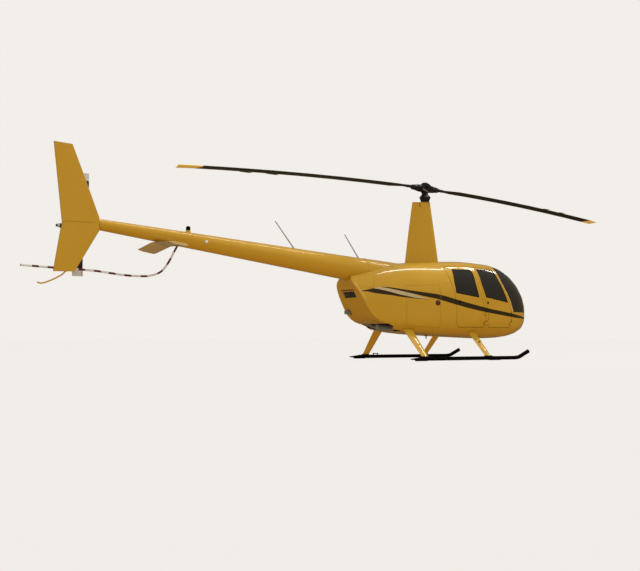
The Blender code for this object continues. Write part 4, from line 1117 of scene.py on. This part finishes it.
def exhaust_details():
    """Clamps and end caps of the silencer, the lip of the tail pipe, and a near black plug inside it: soot,
    and painted shade of the bore beyond.
    """
    rear, front = (here(*p) for p in SILENCER)
    along = front - rear
    clamp = SILENCER_RADIUS + 0.0025
    steel, soot = bmesh.new(), bmesh.new()
    for share in (0.13, 0.50, 0.87):
        at = upright(rear + along * share, along)
        lathe(steel, ((0.050, -0.008), (clamp, -0.008), (clamp, 0.008), (0.050, 0.008)), at, 28)
    for end, out in ((rear, -along), (front, along)):
        lathe(steel, mm((54, -2), (52, 4), (34, 10), (0, 12)), upright(end, out), 28)
    end = here(*PIPE_END)
    at = upright(end, (-1, 0, 0))
    outer, inner = PIPE_RADIUS + 0.0015, PIPE_RADIUS - 0.005
    lip = ((inner, -0.012), (outer, -0.012), (outer, -0.001), (PIPE_RADIUS - 0.001, 0.001), (inner, -0.001))
    lathe(steel, lip, at, 28)
    # A dark plug inside the pipe: soot, and painted shade of the bore beyond it
    lathe(soot, ((inner - 0.0005, -0.085), (inner - 0.0005, -0.060), (0.0, -0.060)), at, 24)
    piece("exhaust_clamps", steel, "exhaust")
    piece("exhaust_soot_and_shade", soot, "soot")
    data = bmesh.new()
    for k in range(9):
        block(data, (0.012, 0.50, 0.020), moved(here(-0.98 + 0.07 * k, 0.0, 0.609)), 0.002)
    piece("sump_ribs", data, "soot")


def gear_details():
    """Bolts at the feet of the legs, wheel lugs and end caps on the skids."""
    bolts, lugs = bmesh.new(), bmesh.new()
    for side, sign in SIDES.items():
        for foot_x in LEG_FOOT_X:
            for dx in (-0.05, 0.05):
                for dy in (0.014, 0.066):
                    y = sign * (SKID_Y - dy)
                    hit = surface(f"skid_{side}", here(foot_x + dx, y, 0.4), (0, 0, -1))
                    hex_head(bolts, *hit, 0.006, 0.006)
        for x in (-0.46, -0.38):
            block(lugs, (0.012, 0.020, 0.052), moved(here(x, sign * SKID_Y, SKID_TOP_Z + 0.004)), 0.003)
        sweep(lugs, [here(x, sign * SKID_Y, SKID_TOP_Z + 0.020) for x in (-0.475, -0.365)], 0.007, 12)
        tip = here(1.42, sign * SKID_Y, 0.126)
        lathe(lugs, mm((34, -12), (34.5, 2), (26, 8), (0, 10)), upright(tip, (0.886, 0, 0.464)), 24)
    piece("leg_bolts", bolts, "steel")
    piece("skid_lugs", lugs, "black")


# Cabin

def pad_height(u, v):
    """Rise of a pad's top at u and v from -1 to 1: crowned, with two sewn channels along it."""
    crown = ((1 - abs(u) ** 4) * (1 - abs(v) ** 4)) ** 0.35
    channels = sum(exp(-(((u - middle) / 0.05) ** 2)) for middle in (-0.36, 0.36))
    return 0.35 + 0.65 * crown * (1 - 0.24 * channels)


def pad_spot(u, v, size):
    """The plan place of u and v: rounded corners, and sides that pull in between them."""
    width, depth = size[:2]
    x = width / 2 * u * (1 - 0.05 * (1 - v * v)) * sqrt(1 - 0.12 * v**8)
    y = depth / 2 * v * (1 - 0.05 * (1 - u * u)) * sqrt(1 - 0.12 * u**8)
    return x, y


def pad(name, placement, size, replaced=None):
    """A stuffed pad with a sewn edge."""
    steps = [k / 14 for k in range(-14, 15)]
    count = len(steps)
    data = bmesh.new()
    top, bottom = [], []
    for v in steps:
        for u in steps:
            x, y = pad_spot(u, v, size)
            top.append(data.verts.new(placement @ Vector((x, y, size[2] * pad_height(u, v)))))
            bottom.append(data.verts.new(placement @ Vector((x * 0.98, y * 0.98, 0.0))))
    for sheet in (top, bottom):
        for i in range(count - 1):
            for j in range(count - 1):
                a = i * count + j
                data.faces.new((sheet[a], sheet[a + 1], sheet[a + count + 1], sheet[a + count]))
    last = count - 1
    edge = [(0, j) for j in range(last)] + [(i, last) for i in range(last)]
    edge += [(last, j) for j in range(last, 0, -1)] + [(i, 0) for i in range(last, 0, -1)]
    rim = [i * count + j for i, j in edge]
    bridge(data, [top[a] for a in rim], [bottom[a] for a in rim])
    piping = bmesh.new()
    sweep(piping, [top[a].co.copy() for a in rim], 0.0045, 8, closed=True)
    made = piece(name, data, "cloth")
    piece(f"{name}_piping", piping, "webbing")
    if replaced:
        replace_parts(made, replaced)


def belt(data, placement, size, stretch):
    """A strap that lies on a pad, between two places in u and v."""
    (u0, v0), (u1, v1) = stretch
    up = placement.to_3x3() @ Vector((0, 0, 1))
    samples = []
    for k in range(25):
        u, v = u0 + (u1 - u0) * k / 24, v0 + (v1 - v0) * k / 24
        x, y = pad_spot(u, v, size)
        samples.append((placement @ Vector((x, y, size[2] * pad_height(u, v) + 0.004)), up))
    ribbon(data, samples, 0.046, 0.0022)


def cushions():
    """Squab and back pads with lap and shoulder belts."""
    thick = PAD_THICK
    for name, y, rear, front in CUSHIONS:
        squab_size = (PAD_WIDTH - 0.01, front - rear - 0.03, thick)
        squab = moved(here((rear + front) / 2 + 0.01, y, PAD_BASE_Z + 0.001)) @ rotated("Z", -90)
        low, high = here(rear + 0.004, y, PAD_BASE_Z + 0.05), here(rear - 0.085, y, PAD_TOP_Z)
        rise = (high - low).normalized()
        side = TO_PORT
        back = moved((low + high) / 2) @ Matrix((side, rise, side.cross(rise))).transposed().to_4x4()
        back_size = (PAD_WIDTH - 0.02, (high - low).length, thick * 0.9)
        pad(f"squab_{name}", squab, squab_size, f"cushion_{name}")
        pad(f"back_pad_{name}", back, back_size)
        straps, buckle = bmesh.new(), bmesh.new()
        belt(straps, squab, squab_size, ((-0.9, -0.45), (0.9, -0.45)))
        belt(straps, back, back_size, ((0.62, 0.92), (-0.75, -0.62)))
        middle = squab @ Vector((0, -0.45 * squab_size[1] / 2, thick + 0.010))
        block(buckle, (0.052, 0.070, 0.014), moved(middle), 0.003)
        piece(f"belt_{name}", straps, "webbing")
        piece(f"buckle_{name}", buckle, "steel")


def instruments():
    """Six round dials with plain ticks and pointers, under a hood."""
    low, high = here(1.50, 0, 0.72), here(1.54, 0, 0.98)
    rise = (high - low).normalized()
    out = rise.cross(TO_PORT).normalized()
    out = out if out.x < 0 else -out
    rims, faces, marks = bmesh.new(), bmesh.new(), bmesh.new()
    for column in (-1, 0, 1):
        for row in (0, 1):
            centre = low + rise * (0.13 + 0.09 * row) + TO_PORT * 0.094 * column + out * 0.0015
            at = moved(centre) @ Matrix((rise.cross(out), rise, out)).transposed().to_4x4()
            lathe(rims, mm((40, -3), (40, 8), (36, 10), (33, 6), (33, -2)), at, 28)
            lathe(faces, mm((34, -2), (34, 2.5), (0, 2.5)), at, 28)
            for k in range(12):
                turn = rotated("Z", 30 * k)
                block(marks, (0.0016, 0.006, 0.0008), at @ turn @ moved((0, 0.028, 0.003)))
            pointer = rotated("Z", 55 * column + 100 * row - 30)
            block(marks, (0.0024, 0.024, 0.0010), at @ pointer @ moved((0, 0.010, 0.004)))
    piece("dial_rims", rims, "panel")
    piece("dial_faces", faces, "dial")
    piece("dial_marks", marks, "white", smooth=False)
    data = bmesh.new()
    plate(data, *([here(x, y, z) for x, z in HOOD_EDGE] for y in (-0.18, 0.18)))
    piece("panel_hood", data, "panel")


def controls():
    """Pedals, the two collective levers and the floor carpet."""
    pedals, levers, grips, carpet = bmesh.new(), bmesh.new(), bmesh.new(), bmesh.new()
    for y in (-0.22, 0.22):
        for dy in (-0.06, 0.06):
            tread = here(1.69, y + dy, 0.56)
            block(pedals, (0.014, 0.060, 0.095), moved(tread) @ rotated("Y", 20), 0.004)
            sweep(pedals, [here(1.72, y + dy, 0.452), tread + Vector((0.008, 0, 0))], 0.008, 10)
    for y in (0.0, 0.545):
        low, bend = (0.50, 0.66) if y else (0.664, 0.70)
        path = catmull([here(1.0, y, low), here(1.10, y, bend), here(1.30, y, 0.79)], 0.03)
        sweep(levers, path, 0.009, 12)
        grip = [here(1.20, y, 0.738), here(1.30, y, 0.79), here(1.33, y, 0.806)]
        sweep(grips, grip, [0.015, 0.017, 0.013], 14)
    for low, high in (((0.56, -0.44), (0.72, 0.44)), ((1.26, -0.42), (1.46, 0.42))):
        size = (high[0] - low[0], high[1] - low[1], 0.007)
        block(carpet, size, moved(here((low[0] + high[0]) / 2, 0, 0.4545)), 0.002)
    piece("pedals", pedals, "steel")
    piece("collective_levers", levers, "steel")
    piece("collective_grips", grips, "rubber")
    piece("carpet", carpet, "carpet")


paint_frame()
tail_guard()
boom_rivets()
fuel_caps()
door_fittings()
lights()
belly_probe()
beacon()
tail_light()
window_seals()
windshield_trim()
seams()
fin_rivets()
cowl_vent()
fairing_details()
rotor_head()
blade_fittings()
tail_rotor_fittings()
gearbox_details()
exhaust_details()
gear_details()
cushions()
instruments()
controls()
backdrop()
pale_floor()
camera()
overhead_strip()
sun("fill_light", azimuth=290.0, elevation=35.0, strength=0.7, spread=50.0)
